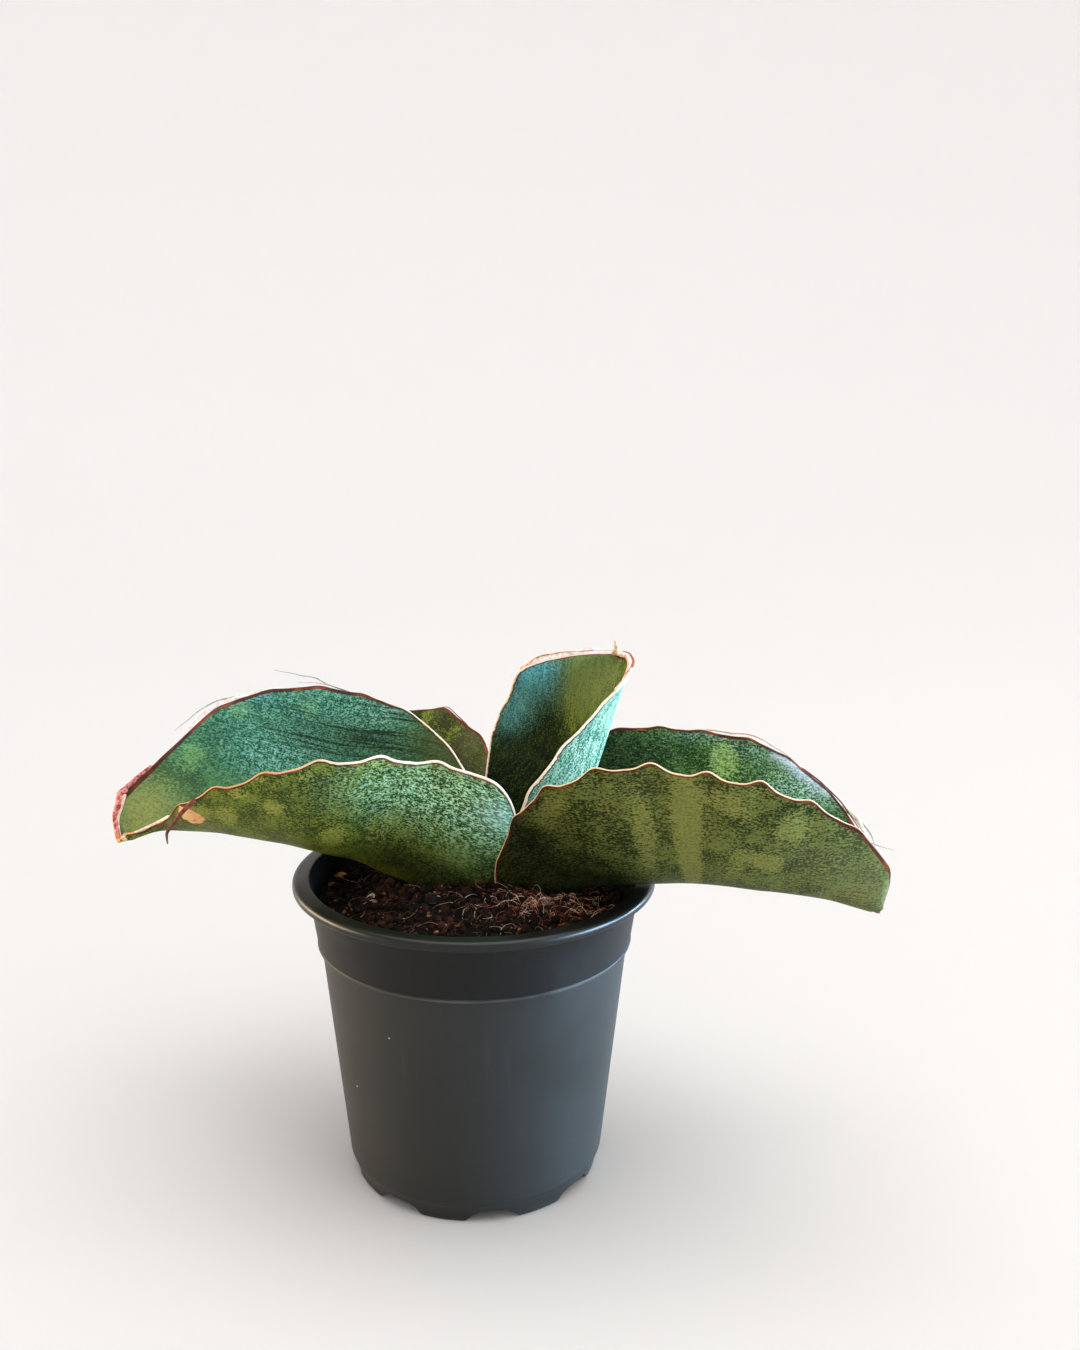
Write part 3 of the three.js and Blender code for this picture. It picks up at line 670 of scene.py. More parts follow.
# ---------------------------------------------------------------- strands and flakes
def sweep(points, radii, sides=6, flat=1.0, toward=(0.0, 1.0, 0.0)):
    """A tapered strand along points, in mm; flat below 1 makes it a strip that faces `toward`."""
    points = np.asarray(points, float)
    ahead = unit(np.gradient(points, axis=0))
    thin = unit(np.array(toward, float) - ahead * (ahead @ np.array(toward, float))[:, None])
    wide = np.cross(ahead, thin)
    turn = around(sides)
    ring = (wide[:, None] * np.cos(turn)[None, :, None]
            + thin[:, None] * (flat * np.sin(turn))[None, :, None])
    made = (points[:, None] + ring * np.asarray(radii)[:, None, None]).reshape(-1, 3)
    return made, tube(len(points), sides)


def joined(parts):
    """Several (points, faces) as one."""
    points, faces, count = [], [], 0
    for p, f in parts:
        points.append(p)
        faces += [tuple(k + count for k in face) for face in f]
        count += len(p)
    return np.concatenate(points), faces


def curve_through(knots, count):
    """Points evenly spread in a smooth curve through the knots."""
    return along(knots, np.linspace(0, 1, count))


def strand_on(leaf, side, knots, radius, flat, seed, count=28):
    """A dry strand that starts on a leaf's margin. Each knot is t and an offset in mm from it."""
    t = np.array([k[0] for k in knots], float)
    v = np.array([-1.0 if side == "left" else 1.0])
    feet = middle_surface(leaf, t, v)[:, 0]
    path = curve_through(feet + np.array([k[1:] for k in knots]), count)
    path += np.stack([rough(path, 6, seed), rough(path, 6, seed + 3), rough(path, 6, seed + 6)],
                     axis=1) * np.linspace(0.1, 0.6, count)[:, None]
    share = np.linspace(0, 1, count)
    return sweep(path, radius * (1 - 0.75 * share**2) * smooth(share, -0.02, 0.04), 6, flat)


STRANDS = {  # margin, colour, radius, flatness, then knots: t and an offset from the margin, mm
    "leaf_left": [
        ("right", "grey", 0.28, 1.0, (0.46, 0, 0, 0), (0.5, -1, 0, 1.2), (0.54, -1, 0, 3.2),
         (0.58, -1, -1, 5.5), (0.62, -1, -2, 7.6)),
        ("right", "tan", 0.18, 1.0, (0.47, 0, 0, 0), (0.51, 0, 0, 0.7), (0.55, 0, -1, 1.8),
         (0.58, 0, -1, 2.6)),
        ("right", "pink", 0.7, 0.3, (0.66, 0, 0, 0), (0.69, 0, 0, 0.6), (0.72, 0, 0, 1.0),
         (0.75, -0.4, 0, 1.2), (0.78, -0.6, -0.4, 0.4)),
        ("right", "grey", 0.3, 0.6, (0.68, 0, 0, 0.2), (0.7, -0.4, 0, 1.2), (0.73, -1.2, 0, 2.0),
         (0.76, -2.2, -1, 2.2), (0.79, -3.4, -1, 1.6)),
        ("right", "cream", 0.4, 0.3, (0.62, 0, 0, 0.1), (0.66, 0, 0, 0.8), (0.7, 0, 0, 0.9),
         (0.74, 0, 0, 0.3)),
        ("left", "brown", 0.8, 0.6, (0.716, 0.6, 0, 0.4), (0.722, -2.6, -0.5, -3.2),
         (0.722, -6, -0.7, -7.4), (0.722, -8.8, -0.8, -11), (0.722, -9.1, -0.6, -13.6),
         (0.722, -9.1, -0.5, -15.6)),
        ("right", "rose", 0.9, 0.6, (0.9, 0, 0, 0.1), (0.93, -0.3, -0.3, 0.3), (0.96, -0.1, -0.4, 0.2),
         (0.985, 0, -0.4, 0), (1.0, 0.2, -0.4, -0.2)),
        ("right", "rose", 1.2, 0.45, (0.93, 0.3, -0.6, 0.2), (0.95, -0.3, -0.9, 0.6),
         (0.97, 0.5, -1.0, -0.2), (0.985, -0.4, -1.0, 0.3), (1.0, 0.4, -1.0, -0.4)),
        ("right", "pink", 0.8, 0.4, (0.94, 0.6, -1.0, -0.6), (0.96, 1.4, -1.2, -1.2),
         (0.98, 0.8, -1.2, -1.8), (1.0, 1.2, -1.2, -1.0)),
        ("right", "rose", 0.7, 0.5, (0.86, 0, 0, 0), (0.89, -0.4, -0.3, 0.6), (0.91, -0.6, -0.5, 0.4),
         (0.93, -0.5, -0.8, 0)),
        ("right", "amber", 0.75, 0.5, (0.97, -0.2, -0.6, 0.2), (0.985, -0.4, -0.9, -0.4),
         (1.0, -0.2, -0.9, -0.9), (1.0, 1.4, -0.9, -1.3), (1.0, 3.4, -0.9, -1.0)),
        ("left", "cream", 0.5, 0.5, (0.8, 0, 0, 0), (0.86, 0, -0.3, 0.3), (0.92, 0, -0.4, 0.2),
         (0.99, 0, -0.3, 0)),
    ],
    "leaf_right": [
        ("left", "cream", 0.9, 0.2, (0.86, 0, 0, 0), (0.88, 0.8, 0, 1.0), (0.9, 1.2, 0, 1.7),
         (0.92, 0.9, -0.6, 1.5), (0.94, 0.2, -0.6, 0.4)),
        ("left", "grey", 0.35, 0.4, (0.87, 0, 0, 0.2), (0.9, 2.0, 0, 1.6), (0.92, 2.6, 0, 1.8),
         (0.94, 2.8, -0.6, 1.4)),
        ("left", "tan", 0.22, 1.0, (0.55, 0, 0, 0), (0.6, 0, 0, 1.0), (0.65, 0, 0, 1.3), (0.7, 0, 0, 0.9),
         (0.75, 0, 0, 0.1)),
        ("left", "brown", 0.3, 1.0, (0.76, 0, 0, 0), (0.8, 0.2, 0, 0.3), (0.85, 0.3, 0, 0.5),
         (0.9, 0.3, -0.3, 0.4), (0.94, 0.1, -0.3, 0.1)),
        ("left", "grey", 0.2, 1.0, (0.93, 0, 0, 0.4), (0.93, 3, -1, 0.2), (0.93, 6, -2, -0.6),
         (0.93, 9.4, -3, -1.6)),
    ],
    "leaf_centre": [
        ("left", "pink", 0.6, 0.25, (0.82, 0, 0, 0), (0.86, -0.4, 0, 0.5), (0.9, -0.4, 0, 0.8),
         (0.95, -0.2, 0, 0.9), (0.99, 0.4, 0, 0.4)),
        ("left", "tan", 0.3, 0.5, (0.84, 0, 0, 0.2), (0.88, -0.6, 0, 1.3), (0.93, -0.2, -0.5, 1.7),
         (0.98, 1, -0.5, 1.0)),
        ("left", "cream", 0.6, 0.25, (0.87, 0, 0, 0), (0.91, 0, 0, 0.5), (0.96, 0.4, 0, 0.5),
         (1.0, 0.6, 0, 0.2)),
        ("right", "pink", 0.8, 0.4, (0.82, 0, 0, 0), (0.87, 0.7, 0, 0.3), (0.92, 1.2, 0, 0.6),
         (0.98, 1.3, 0, 0.8)),
        ("right", "rust", 0.6, 0.5, (0.9, 0, 0, 0), (0.93, 1.0, 0, 0.2), (0.96, 1.7, 0, 1.0),
         (0.99, 0.8, 0, 1.8), (1.0, -0.8, 0, 1.6)),
        ("left", "pink", 0.7, 0.5, (0.93, 0, 0, 0.2), (0.96, 0, 0, 1.1), (0.98, 1.0, 0, 1.3),
         (1.0, 2.2, 0, 0.9)),
        ("right", "cream", 0.35, 0.4, (0.7, 0, 0, 0), (0.76, 0.7, 0, 0.4), (0.82, 0.9, 0, 0.4),
         (0.88, 0.2, 0, 0)),
    ],
    "leaf_back": [
        ("right", "brown", 0.25, 0.6, (0.5, 0, 0, 0), (0.56, 0, 0, 0.6), (0.62, 0, 0, 0.6),
         (0.68, 0, 0, 0.1)),
    ],
}
STRAND_COLOURS = dict(
    grey=((120, 108, 96), (176, 166, 150)), tan=((150, 104, 70), (206, 168, 126)),
    cream=((214, 190, 160), (246, 236, 222)), brown=((70, 30, 24), (128, 66, 44)),
    pink=((214, 160, 136), (246, 222, 204)), rust=((104, 40, 30), (204, 128, 96)),
    rose=((140, 44, 42), (232, 150, 136)), amber=((176, 76, 36), (246, 196, 140)),
)


def strand_material(name, dark, light):
    """Dry fibre between two tones."""
    m = Shader(name)
    where = m.node("TexCoord").outputs["Object"]
    fibre = m.noise(where, scale=700, detail=3, rough=0.7)
    colour = m.mix(m.step(fibre, 0.35, 0.65), dark, light)
    return m.finish(colour, 0.75, 0.3, m.bump(fibre, 0.4, 0.08))


strand_materials = {key: strand_material("dry_" + key, *pair) for key, pair in STRAND_COLOURS.items()}
leaf_pieces = []
for name, leaf in LEAVES.items():
    look = LOOKS[name]
    made = leaf_piece(name + "_blade", leaf, look)
    leaf_pieces.append(dress(made, leaf_material(name + "_skin", look), name))
    by_colour = {}
    for i, (side, colour, radius, flat, *knots) in enumerate(STRANDS[name]):
        part = strand_on(leaf, side, knots, radius, flat, i + look.seed)
        by_colour.setdefault(colour, []).append(part)
    for colour, parts in by_colour.items():
        strands = mesh_object(name + "_strands_" + colour, *joined(parts))
        dress(strands, strand_materials[colour])

# The dry spike at the centre leaf's tip.
tip = middle_surface(LEAVES["leaf_centre"], np.array([1.0]), np.array([-1.0]))[0, 0]
spike = sweep(curve_through([tip + (1.2, 0, -0.8), tip + (1.3, 0, 1.6), tip + (0.9, 0, 4.6)], 10),
              np.linspace(1.5, 0.2, 10), 7, 0.4)
dress(mesh_object("leaf_centre_spike", *spike), strand_materials["tan"])


# ---------------------------------------------------------------- pot
def arc(radius, z, size, start, end, steps):
    """A stretch of a profile that runs round (radius, z), from one angle to another."""
    turns = np.radians(np.linspace(start, end, steps + 1))
    return [(radius + size * cos(x), z + size * sin(x)) for x in turns]


def inner_radius(z):
    """How wide the pot is inside, at a height."""
    p = POT
    share = (z - p.body_foot_z) / (p.step - p.body_foot_z)
    body = p.body_foot + (p.body_top - p.body_foot) * share
    rise = (z - p.step) / (p.height - p.lip_drop - p.step)
    collar = p.collar_foot + (p.collar_top - p.collar_foot) * rise
    return (body if z < p.step else min(collar, p.rim_inner + p.wall)) - p.wall


def lathe(profile, count):
    """A closed profile of (radius, z) turned about Z; it starts and ends on the axis."""
    points = turned(profile[1:-1], count)
    low = len(points)
    points += [(0, 0, profile[0][1]), (0, 0, profile[-1][1])]
    return np.array(points), closed(len(profile) - 2, count, low, low + 1)


def pocket(turn):
    """A drain pocket's cutter: a flat arch that runs out through the foot."""
    half, top, low = DRAIN.width / 2, DRAIN.height, DRAIN.flare_start
    side = [(half, -1.0)]
    for share in np.linspace(0, 1, 17):
        side.append((half - DRAIN.flare * share, low + (top - low) * float(smooth(share, 0, 1))))
    arch = side + [(-x, z) for x, z in reversed(side)]
    near, far = DRAIN.inner, POT.body_foot + 3
    c, s = cos(turn), sin(turn)
    points = [(r * c - x * s, r * s + x * c, z) for r in (near, far) for x, z in arch]
    return np.array(points), tube(2, len(arch))


def cut(body, tool):
    """Takes one object out of another, and removes the cutter."""
    for piece in (body, tool):
        mend(piece)
    change = body.modifiers.new("cut", "BOOLEAN")
    change.object, change.operation, change.solver = tool, "DIFFERENCE", "EXACT"
    apply_modifiers(body)
    bpy.data.objects.remove(tool, do_unlink=True)


def apply_modifiers(piece):
    graph = bpy.context.evaluated_depsgraph_get()
    graph.update()
    made = bpy.data.meshes.new_from_object(piece.evaluated_get(graph))
    piece.modifiers.clear()
    piece.data = made


def mend(piece):
    """Turns a closed mesh's faces outwards."""
    work = bmesh.new()
    work.from_mesh(piece.data)
    bmesh.ops.recalc_face_normals(work, faces=work.faces)
    work.to_mesh(piece.data)
    work.free()


def sharpen(piece, degrees=32):
    """Smooth faces with sharp edges over an angle."""
    piece.data.polygons.foreach_set("use_smooth", [True] * len(piece.data.polygons))
    piece.data.set_sharp_from_angle(angle=radians(degrees))


def pot_piece():
    """The pot as one turned wall, with its pockets and drain holes cut out of the foot."""
    p = POT
    lip = p.height - p.lip_drop
    profile = [(0, 0), (p.foot - p.foot_round, 0)]
    profile += arc(p.foot - p.foot_round, p.foot_round, p.foot_round, -60, 0, 4)
    profile += [(p.foot, p.foot_height - 0.6), (p.foot + 0.12, p.foot_height)]
    profile += arc(p.body_foot - p.heel_round, p.body_foot_z, p.heel_round, -p.heel_turn, 0, 10)
    foot, ridge = p.collar_foot, p.collar_foot + p.bead
    profile += [(p.body_top, p.step - p.step_height),
                (p.body_top + 0.2, p.step - p.step_height + 0.1), (ridge - 0.1, p.step - 0.1),
                (ridge, p.step + 0.15), (ridge, p.step + 0.6), (foot + 0.12, p.step + 0.95)]
    rise = lip - p.step
    for share in (0.3, 0.6, 0.86, 0.9, 0.93):
        bead = p.bead if share == 0.9 else 0.0
        profile.append((foot + (p.collar_top - foot) * share + bead, p.step + rise * share))
    profile += [(p.collar_top, lip - 0.6), (p.collar_top + 0.5, lip)]
    profile += arc(p.rim - p.lip_round, lip + p.lip_round, p.lip_round, -90, 0, 5)
    profile += arc(p.rim - p.rim_round, p.height - p.rim_round, p.rim_round, 0, 90, 8)
    profile += arc(p.rim_inner + p.lip_round, p.height - p.lip_round, p.lip_round, 90, 180, 5)
    profile += [(inner_radius(lip), lip - 1), (inner_radius(p.step), p.step),
                (inner_radius(p.step - 1), p.step - 1),
                (inner_radius(p.inside_z + 3), p.inside_z + 3),
                (inner_radius(p.inside_z + 3) - 2.5, p.inside_z), (0, p.inside_z)]
    body = mesh_object("pot_shell", *lathe(profile, count=216))
    sides = 32
    for k in range(DRAIN.count):
        turn = radians(DRAIN.first + 360 * k / DRAIN.count)
        cut(body, mesh_object("cutter", *pocket(turn)))
        c, s = cos(turn) * DRAIN.hole_at, sin(turn) * DRAIN.hole_at
        ring = [(c + DRAIN.hole * cos(x), s + DRAIN.hole * sin(x), z)
                for z in (DRAIN.height - 1, p.inside_z + 1) for x in around(sides)]
        cut(body, mesh_object("cutter", ring, tube(2, sides)))
    sharpen(body)
    return body


def pot_material(name, tones, specular, gloss):
    """The pot's dull black plastic; gloss lowers its roughness."""
    m = Shader(name)
    where = m.node("TexCoord").outputs["Object"]
    x, y, z = m.split(where)
    cloud = m.noise(where, scale=26, detail=3, rough=0.55)
    grain = m.noise(where, scale=1500, detail=1)
    tall = m.node("CombineXYZ", i0=m.times(x, 260), i1=m.times(y, 260), i2=m.times(z, 16))
    streak = m.noise(tall.outputs[0], detail=2)
    colour = m.mix(m.step(cloud, 0.3, 0.7), *tones)
    colour = m.mix(m.step(streak, 0.62, 0.8, 0, 0.09), colour, (70, 70, 68))
    # painted highlight: a lighter band on the bead at the step, where it catches the light
    painted_ridge_highlight = m.times(m.step(z, 0.0879, 0.0886), m.step(z, 0.0900, 0.0892))
    colour = m.mix(m.times(painted_ridge_highlight, m.step(cloud, 0.35, 0.65, 0.05, 0.45)), colour, (96, 96, 92))
    # a film of dust on the rim and in the corner under it, and a few specks
    dusty = m.times(m.step(cloud, 0.5, 0.75), m.step(z, 0.080, 0.112))
    colour = m.mix(m.times(dusty, 0.12), colour, (150, 146, 138))
    cells = m.node("TexVoronoi", Vector=where, Scale=150.0)
    picked = m.math("GREATER_THAN", m.split(cells.outputs["Color"])[0], 0.95)
    speck = m.times(m.math("LESS_THAN", cells.outputs["Distance"], 0.055), picked)
    colour = m.mix(m.times(speck, 0.8), colour, (205, 205, 200))
    roughness = m.step(cloud, 0.3, 0.7, 0.48 - gloss, 0.56 - gloss)
    normal = m.bump(m.plus(m.times(grain, 0.3), cloud), 0.25, 0.25)
    return m.finish(colour, roughness, specular, normal)


RIM_FACE, INNER_SHADE_FACE, COLLAR_SHADE_FACE = 1, 2, 3
pot = dress(pot_piece(), pot_material("pot_plastic", ((19, 20, 17), (26, 27, 24)), 0.42, -0.02),
            "pot")
# The collar and the inner wall get darker copies of the plastic: painted shade under the rim and inside
# the pot.
for plastic in (("pot_rim_plastic", ((8, 8, 7), (12, 12, 10)), 0.4, 0.17),
                ("pot_inner_painted_shade", ((3, 3, 3), (5, 5, 5)), 0.1, -0.25),
                ("pot_collar_painted_shade", ((7, 7, 6), (11, 11, 9)), 0.25, 0.0)):
    pot.data.materials.append(pot_material(*plastic))
for face in pot.data.polygons:  # the rim is darker and a little shinier, the inside and collar duller and darker still, painted shade
    spot, facing = Vector(face.center) / MM, face.normal
    inward = spot.x * facing.x + spot.y * facing.y < -0.8 * hypot(spot.x, spot.y)
    if inward and spot.z > POT.inside_z + 1:
        face.material_index = INNER_SHADE_FACE
    elif spot.z > POT.height - POT.lip_drop - 0.2:
        face.material_index = RIM_FACE
    elif spot.z > POT.step + 0.4:
        face.material_index = COLLAR_SHADE_FACE


# ---------------------------------------------------------------- soil
def soil_relief(x, y):
    """The mound with its crumbs, in mm."""
    points = np.stack([np.ravel(x), np.ravel(y), np.zeros(np.size(x))], axis=1)
    lumps = (rough(points, 9, 2) * 1.1 + rough(points, 4, 5) * 0.9
             + rough(points, 1.9, 8) * 0.6 + rough(points, 0.9, 12) * 0.35)
    r = np.hypot(points[:, 0], points[:, 1]) / inner_radius(SOIL.edge_z)
    mound = SOIL.crown_z + (SOIL.edge_z - SOIL.crown_z) * smooth(r, SOIL.crown_share, 1)
    return mound + lumps * (1 - 0.6 * smooth(r, 0.85, 1)) - 0.4


def soil_body():
    """The soil as one closed body: plain below, and with its relief on top."""
    base, foot = POT.inside_z + SOIL.gap, inner_radius(SOIL.foot_z)
    profile = [(foot - 3, base), (foot - SOIL.gap, base + 3),
               (inner_radius(POT.step - 1) - SOIL.gap, POT.step - 1)]
    segments, rings = 300, 88
    rim = inner_radius(SOIL.edge_z) - SOIL.gap
    top = turned([(rim * (i / rings) ** 0.8, 0) for i in range(rings, 0, -1)], segments)
    top = np.array(top + [(0, 0, 0)])
    top[:, 2] = soil_relief(top[:, 0], top[:, 1])
    points = np.concatenate([turned(profile, segments), top, [(0, 0, base)]])
    return points, closed(len(profile) + rings, segments, len(points) - 1, len(points) - 2)


blade_tree = kdtree.KDTree(sum(len(piece.data.vertices) for piece in leaf_pieces))
for piece in leaf_pieces:
    for vertex in piece.data.vertices:
        blade_tree.insert(vertex.co, vertex.index)
blade_tree.balance()


def clear_of_leaves(point, gap):
    """Whether a point in mm is more than the gap away from every leaf."""
    return blade_tree.find(Vector(point) * MM)[2] > gap * MM


def lump_shape():
    """A small ball of 42 points, as numpy arrays."""
    work = bmesh.new()
    bmesh.ops.create_icosphere(work, subdivisions=2, radius=1.0)
    points = np.array([v.co[:] for v in work.verts])
    faces = [tuple(v.index for v in f.verts) for f in work.faces]
    work.free()
    return points, faces


def crumbs(count, seed, sizes, reach=55.0):
    """Crumbs of peat scattered over the surface, with a random tint for each."""
    rng = random.Random(seed)
    ball, ball_faces = lump_shape()
    parts, tints, spots = [], [], []
    for _ in range(count):
        r, x = reach * sqrt(rng.random()), rng.uniform(0, 2 * pi)
        spots.append((r * cos(x), r * sin(x)))
    spots = np.array(spots)
    for (x, y), z in zip(spots, soil_relief(spots[:, 0], spots[:, 1])):
        size = sizes[0] * (sizes[1] / sizes[0]) ** (rng.random() ** 2.2)
        centre_at = np.array([x, y, z + size * rng.uniform(-0.1, 0.45)])
        if not clear_of_leaves(centre_at, size + 0.7):
            continue
        stretch = np.array([rng.uniform(0.7, 1.35) for _ in range(3)])
        turn = np.linalg.qr(np.array([[rng.gauss(0, 1) for _ in range(3)] for _ in range(3)]))[0]
        bumps = 1 + 0.32 * rough(ball, 0.75, rng.uniform(0, 90))
        parts.append(((ball * bumps[:, None] * stretch * size) @ turn + centre_at, ball_faces))
        tints.append(rng.random())
    points, faces = joined(parts)
    tint = np.repeat(tints, len(ball))
    return points, faces, np.stack([tint, tint * 0, tint * 0], axis=1)


FIBRE_START, FIBRE_LIMIT = 54, 56  # how far from the middle fibres start, and reach, mm
FIBRE_STEPS = 12
FIBRE_TRIES = 8  # for each that is wanted


def fibres(count, seed, lengths, radii, lift, zone=None):
    """Curved coir fibres that lie on the soil, some of them standing a little off it."""
    rng = random.Random(seed)
    parts, tries = [], 0
    while len(parts) < count and tries < count * FIBRE_TRIES:
        tries += 1
        if zone:
            x, y = rng.gauss(zone[0], zone[2]), rng.gauss(zone[1], zone[3])
        else:
            r, a = FIBRE_START * sqrt(rng.random()), rng.uniform(0, 2 * pi)
            x, y = r * cos(a), r * sin(a)
        heading, bend = rng.uniform(0, 2 * pi), rng.gauss(0, 0.16)
        length = rng.uniform(*lengths)
        path = []
        for _ in range(FIBRE_STEPS):
            path.append((x, y))
            heading += bend + rng.gauss(0, 0.12)
            x += length / FIBRE_STEPS * cos(heading)
            y += length / FIBRE_STEPS * sin(heading)
        path = np.array(path)
        if np.hypot(path[:, 0], path[:, 1]).max() > FIBRE_LIMIT:
            continue
        rise = rng.uniform(0.1, 1.0) ** 2 * lift
        share = np.linspace(0, 1, FIBRE_STEPS)
        arch = np.sin(share * pi * rng.uniform(0.5, 1.1)) * rise
        z = soil_relief(path[:, 0], path[:, 1])
        z = np.convolve(np.pad(z, 2, mode="edge"), np.ones(5) / 5, mode="valid") + 0.25 + arch
        path = np.column_stack([path, z])
        if not all(clear_of_leaves(q, 0.9) for q in path):
            continue
        radius = rng.uniform(*radii)
        parts.append(sweep(path, radius * (1 - 0.6 * share), 4, 1.0, (0.1, 0.2, 1.0)))
    return joined(parts)


def soil_material(name, dark, mid, light):
    """Moist peat in three tones, with red patches and light grit."""
    m = Shader(name)
    where = m.node("TexCoord").outputs["Object"]
    tint = m.field("tint")[0]
    patch = m.noise(where, scale=55, detail=2)
    clod = m.noise(where, scale=420, detail=4, rough=0.7)
    grit = m.noise(where, scale=1900, detail=2, rough=0.7)
    share = m.plus(m.times(clod, 0.9), m.times(tint, 0.5))
    colour = m.mix(m.step(share, 0.4, 0.8), dark, mid)
    reddish = m.times(m.step(patch, 0.45, 0.62), m.step(share, 0.45, 0.85))
    colour = m.mix(reddish, colour, light)
    colour = m.mix(m.step(grit, 0.66, 0.76, 0, 0.6), colour, (150, 112, 84))
    relief = m.plus(clod, m.times(grit, 0.5))
    return m.finish(colour, 0.9, 0.12, m.bump(relief, 0.9, 0.8))


peat = soil_material("peat", (5, 4, 3), (20, 13, 9), (52, 28, 18))
points, faces = soil_body()
body = mesh_object("soil_body", points, faces, {"tint": np.zeros((len(points), 3))})
dress(body, peat, "soil")
brown = soil_material("peat_brown", (48, 30, 20), (92, 58, 38), (150, 106, 74))
for name, material, look in (("soil_crumbs", peat, (3400, 3, (0.3, 1.9))),
                             ("soil_crumbs_brown", brown, (900, 4, (0.2, 0.9)))):
    points, faces, tint = crumbs(*look)
    dress(mesh_object(name, points, faces, {"tint": tint}), material)

FIBRES = (  # name, count, seed, lengths, radii, lift, where they gather, colours
    ("soil_fibres_red", 230, 5, (3, 12), (0.06, 0.17), 1.6, None, ((56, 28, 18), (112, 60, 38))),
    ("soil_fibres_tan", 70, 6, (4, 14), (0.05, 0.12), 2.0, None, ((110, 74, 50), (190, 146, 110))),
    ("soil_tuft_red", 260, 7, (2, 8), (0.06, 0.17), 2.4, (28, -19, 16, 9), ((92, 44, 30), (186, 104, 74))),
    ("soil_tuft_tan", 105, 8, (2, 7), (0.06, 0.16), 3.0, (33, -17, 11, 6),
     ((190, 128, 92), (250, 214, 176))),
    ("soil_hairs_pale", 32, 9, (3, 11), (0.05, 0.1), 3.4, (18, -22, 22, 12),
     ((196, 180, 166), (250, 244, 236))),
)
for name, count, seed, lengths, radii, lift, zone, pair in FIBRES:
    dress(mesh_object(name, *fibres(count, seed, lengths, radii, lift, zone)),
          strand_material(name, *pair))


def stone_piece(name, place, size, stretch, seed, dark, light, turn=0.0):
    """A chip, a stone or a grain of grit that sits in the soil at place."""
    ball, faces = lump_shape()
    bumps = 1 + 0.28 * rough(ball, 0.9, seed)
    c, s = cos(turn), sin(turn)
    points = ball * bumps[:, None] * np.array(stretch) * size
    points = points @ np.array([[c, s, 0], [-s, c, 0], [0, 0, 1]])
    x, y = place
    z = soil_relief(x, y)[0] + size * stretch[2] * 0.45
    made = mesh_object(name, points + np.array([x, y, z]), faces)
    change = made.modifiers.new("round", "SUBSURF")
    change.levels = change.render_levels = 1
    apply_modifiers(made)
    dress(made, strand_material(name, dark, light))


for row in (
        ("chip_large", (-51, 17), 2.3, (1.3, 0.7, 0.6), 4, (120, 78, 40), (206, 152, 92), 0.5),
        ("chip_small", (-53, 8), 1.5, (1.2, 0.8, 0.6), 9, (84, 56, 34), (140, 100, 64), 1.0),
        ("stone", (-35.4, -12.5), 2.2, (1.1, 0.9, 0.8), 14, (96, 88, 70), (172, 162, 138), 0.3),
        ("grit_a", (-28.6, -23), 0.7, (1, 1, 0.9), 19, (150, 142, 132), (214, 208, 200)),
        ("grit_b", (-12, -17), 0.8, (1.2, 0.8, 0.8), 23, (120, 112, 100), (190, 184, 172)),
        ("grit_c", (43, -14), 0.9, (1, 1, 0.8), 29, (60, 54, 46), (128, 120, 104))):
    stone_piece("soil_" + row[0], *row[1:])

# ---------------------------------------------------------------- floor, light, camera
BOWL = [(900, 0), (1400, 20), (1900, 120), (2400, 360), (2800, 750), (3000, 1200),
        (3050, 1700), (3060, 2200)]  # radius and z of a floor that rises into a wall, mm


def stage_piece():
    profile, segments = curve_through(BOWL, 40), 96
    faces = bands(len(profile), segments) + [tuple(range(segments))[::-1]]
    made = mesh_object("stage_floor", turned(profile, segments), faces)
    made.data.materials.append(Shader("stage_paper").finish((230, 228, 227), 0.9, 0.1))
    return made


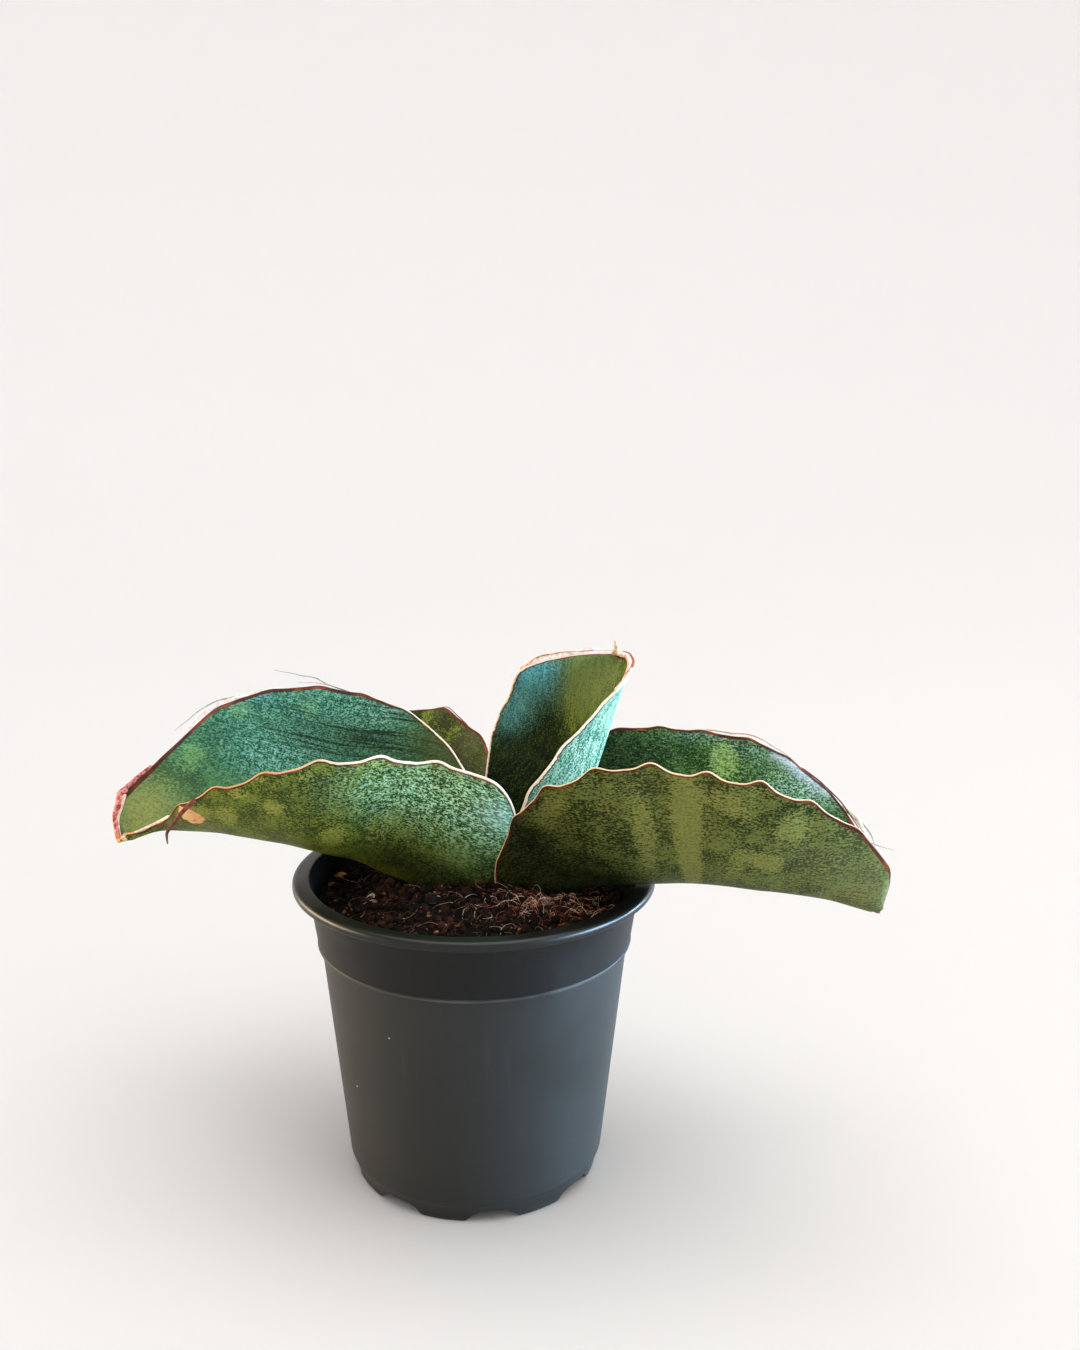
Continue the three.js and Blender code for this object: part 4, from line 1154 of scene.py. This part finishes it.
floor = stage_piece()
world = bpy.data.worlds.new("studio")
bpy.context.scene.world = world
world.use_nodes = True
world.node_tree.nodes["Background"].inputs["Color"].default_value = (1.0, 0.99, 0.98, 1)
world.node_tree.nodes["Background"].inputs["Strength"].default_value = 0.5

# The coloured side lights fall on the plant and its pot, and not on the floor.
side_lit = bpy.data.collections.new("side_lit")
side_lit.objects.link(floor)
side_lit.collection_objects[0].light_linking.link_state = "EXCLUDE"


def softbox(name, place, target, size, power, colour, spare_floor=False):
    """An area light, in metres and watts, that the camera doesn't see."""
    data = bpy.data.lights.new(name, "AREA")
    data.shape, data.size, data.size_y = "RECTANGLE", size[0], size[1]
    data.energy, data.color = power, colour
    made = bpy.data.objects.new(name, data)
    bpy.context.scene.collection.objects.link(made)
    made.location = place
    aim = Vector(target) - Vector(place)
    made.rotation_euler = aim.to_track_quat("-Z", "Y").to_euler()
    made.visible_camera = False
    if spare_floor:
        made.light_linking.receiver_collection = side_lit


softbox("key", (0.75, -0.35, 1.3), (0, 0, 0.12), (1.4, 1.4), 6, (1.0, 0.98, 0.94))
softbox("overhead", (0, 0, 2.2), (0, 0, 0), (2.0, 2.0), 25.5, (0.98, 0.99, 1.0))
softbox("window_right", (0.9, 0.0, 0.2), (0, 0, 0.08), (1.0, 0.36), 46, (0.44, 0.70, 1.0), True)
softbox("lamp_left", (-0.9, 0.1, 0.22), (0, 0, 0.08), (0.8, 0.36), 12, (1.0, 0.78, 0.46), True)
for k in range(6):  # these light the wall all round, and not the plant
    turn = radians(30 + 60 * k)
    out = Vector((cos(turn), sin(turn), 0))
    softbox("wall_%d" % k, out * 1.5 + Vector((0, 0, 1.9)), out * 3 + Vector((0, 0, 0.5)),
            (1.6, 0.4), 8.6, (0.99, 0.99, 1.0))

camera = bpy.data.objects.new("camera", bpy.data.cameras.new("camera"))
bpy.context.scene.collection.objects.link(camera)
camera.data.sensor_width = 36
camera.data.lens = 37.33
camera.data.clip_start = 0.01
camera.location = (0.0233, -0.476, 0.297)
camera.rotation_euler = (radians(90 - 13.2), 0, 0)
camera.rotation_euler.rotate_axis("Z", 0.0043)
bpy.context.scene.camera = camera
bpy.context.scene.view_settings.view_transform = "Standard"
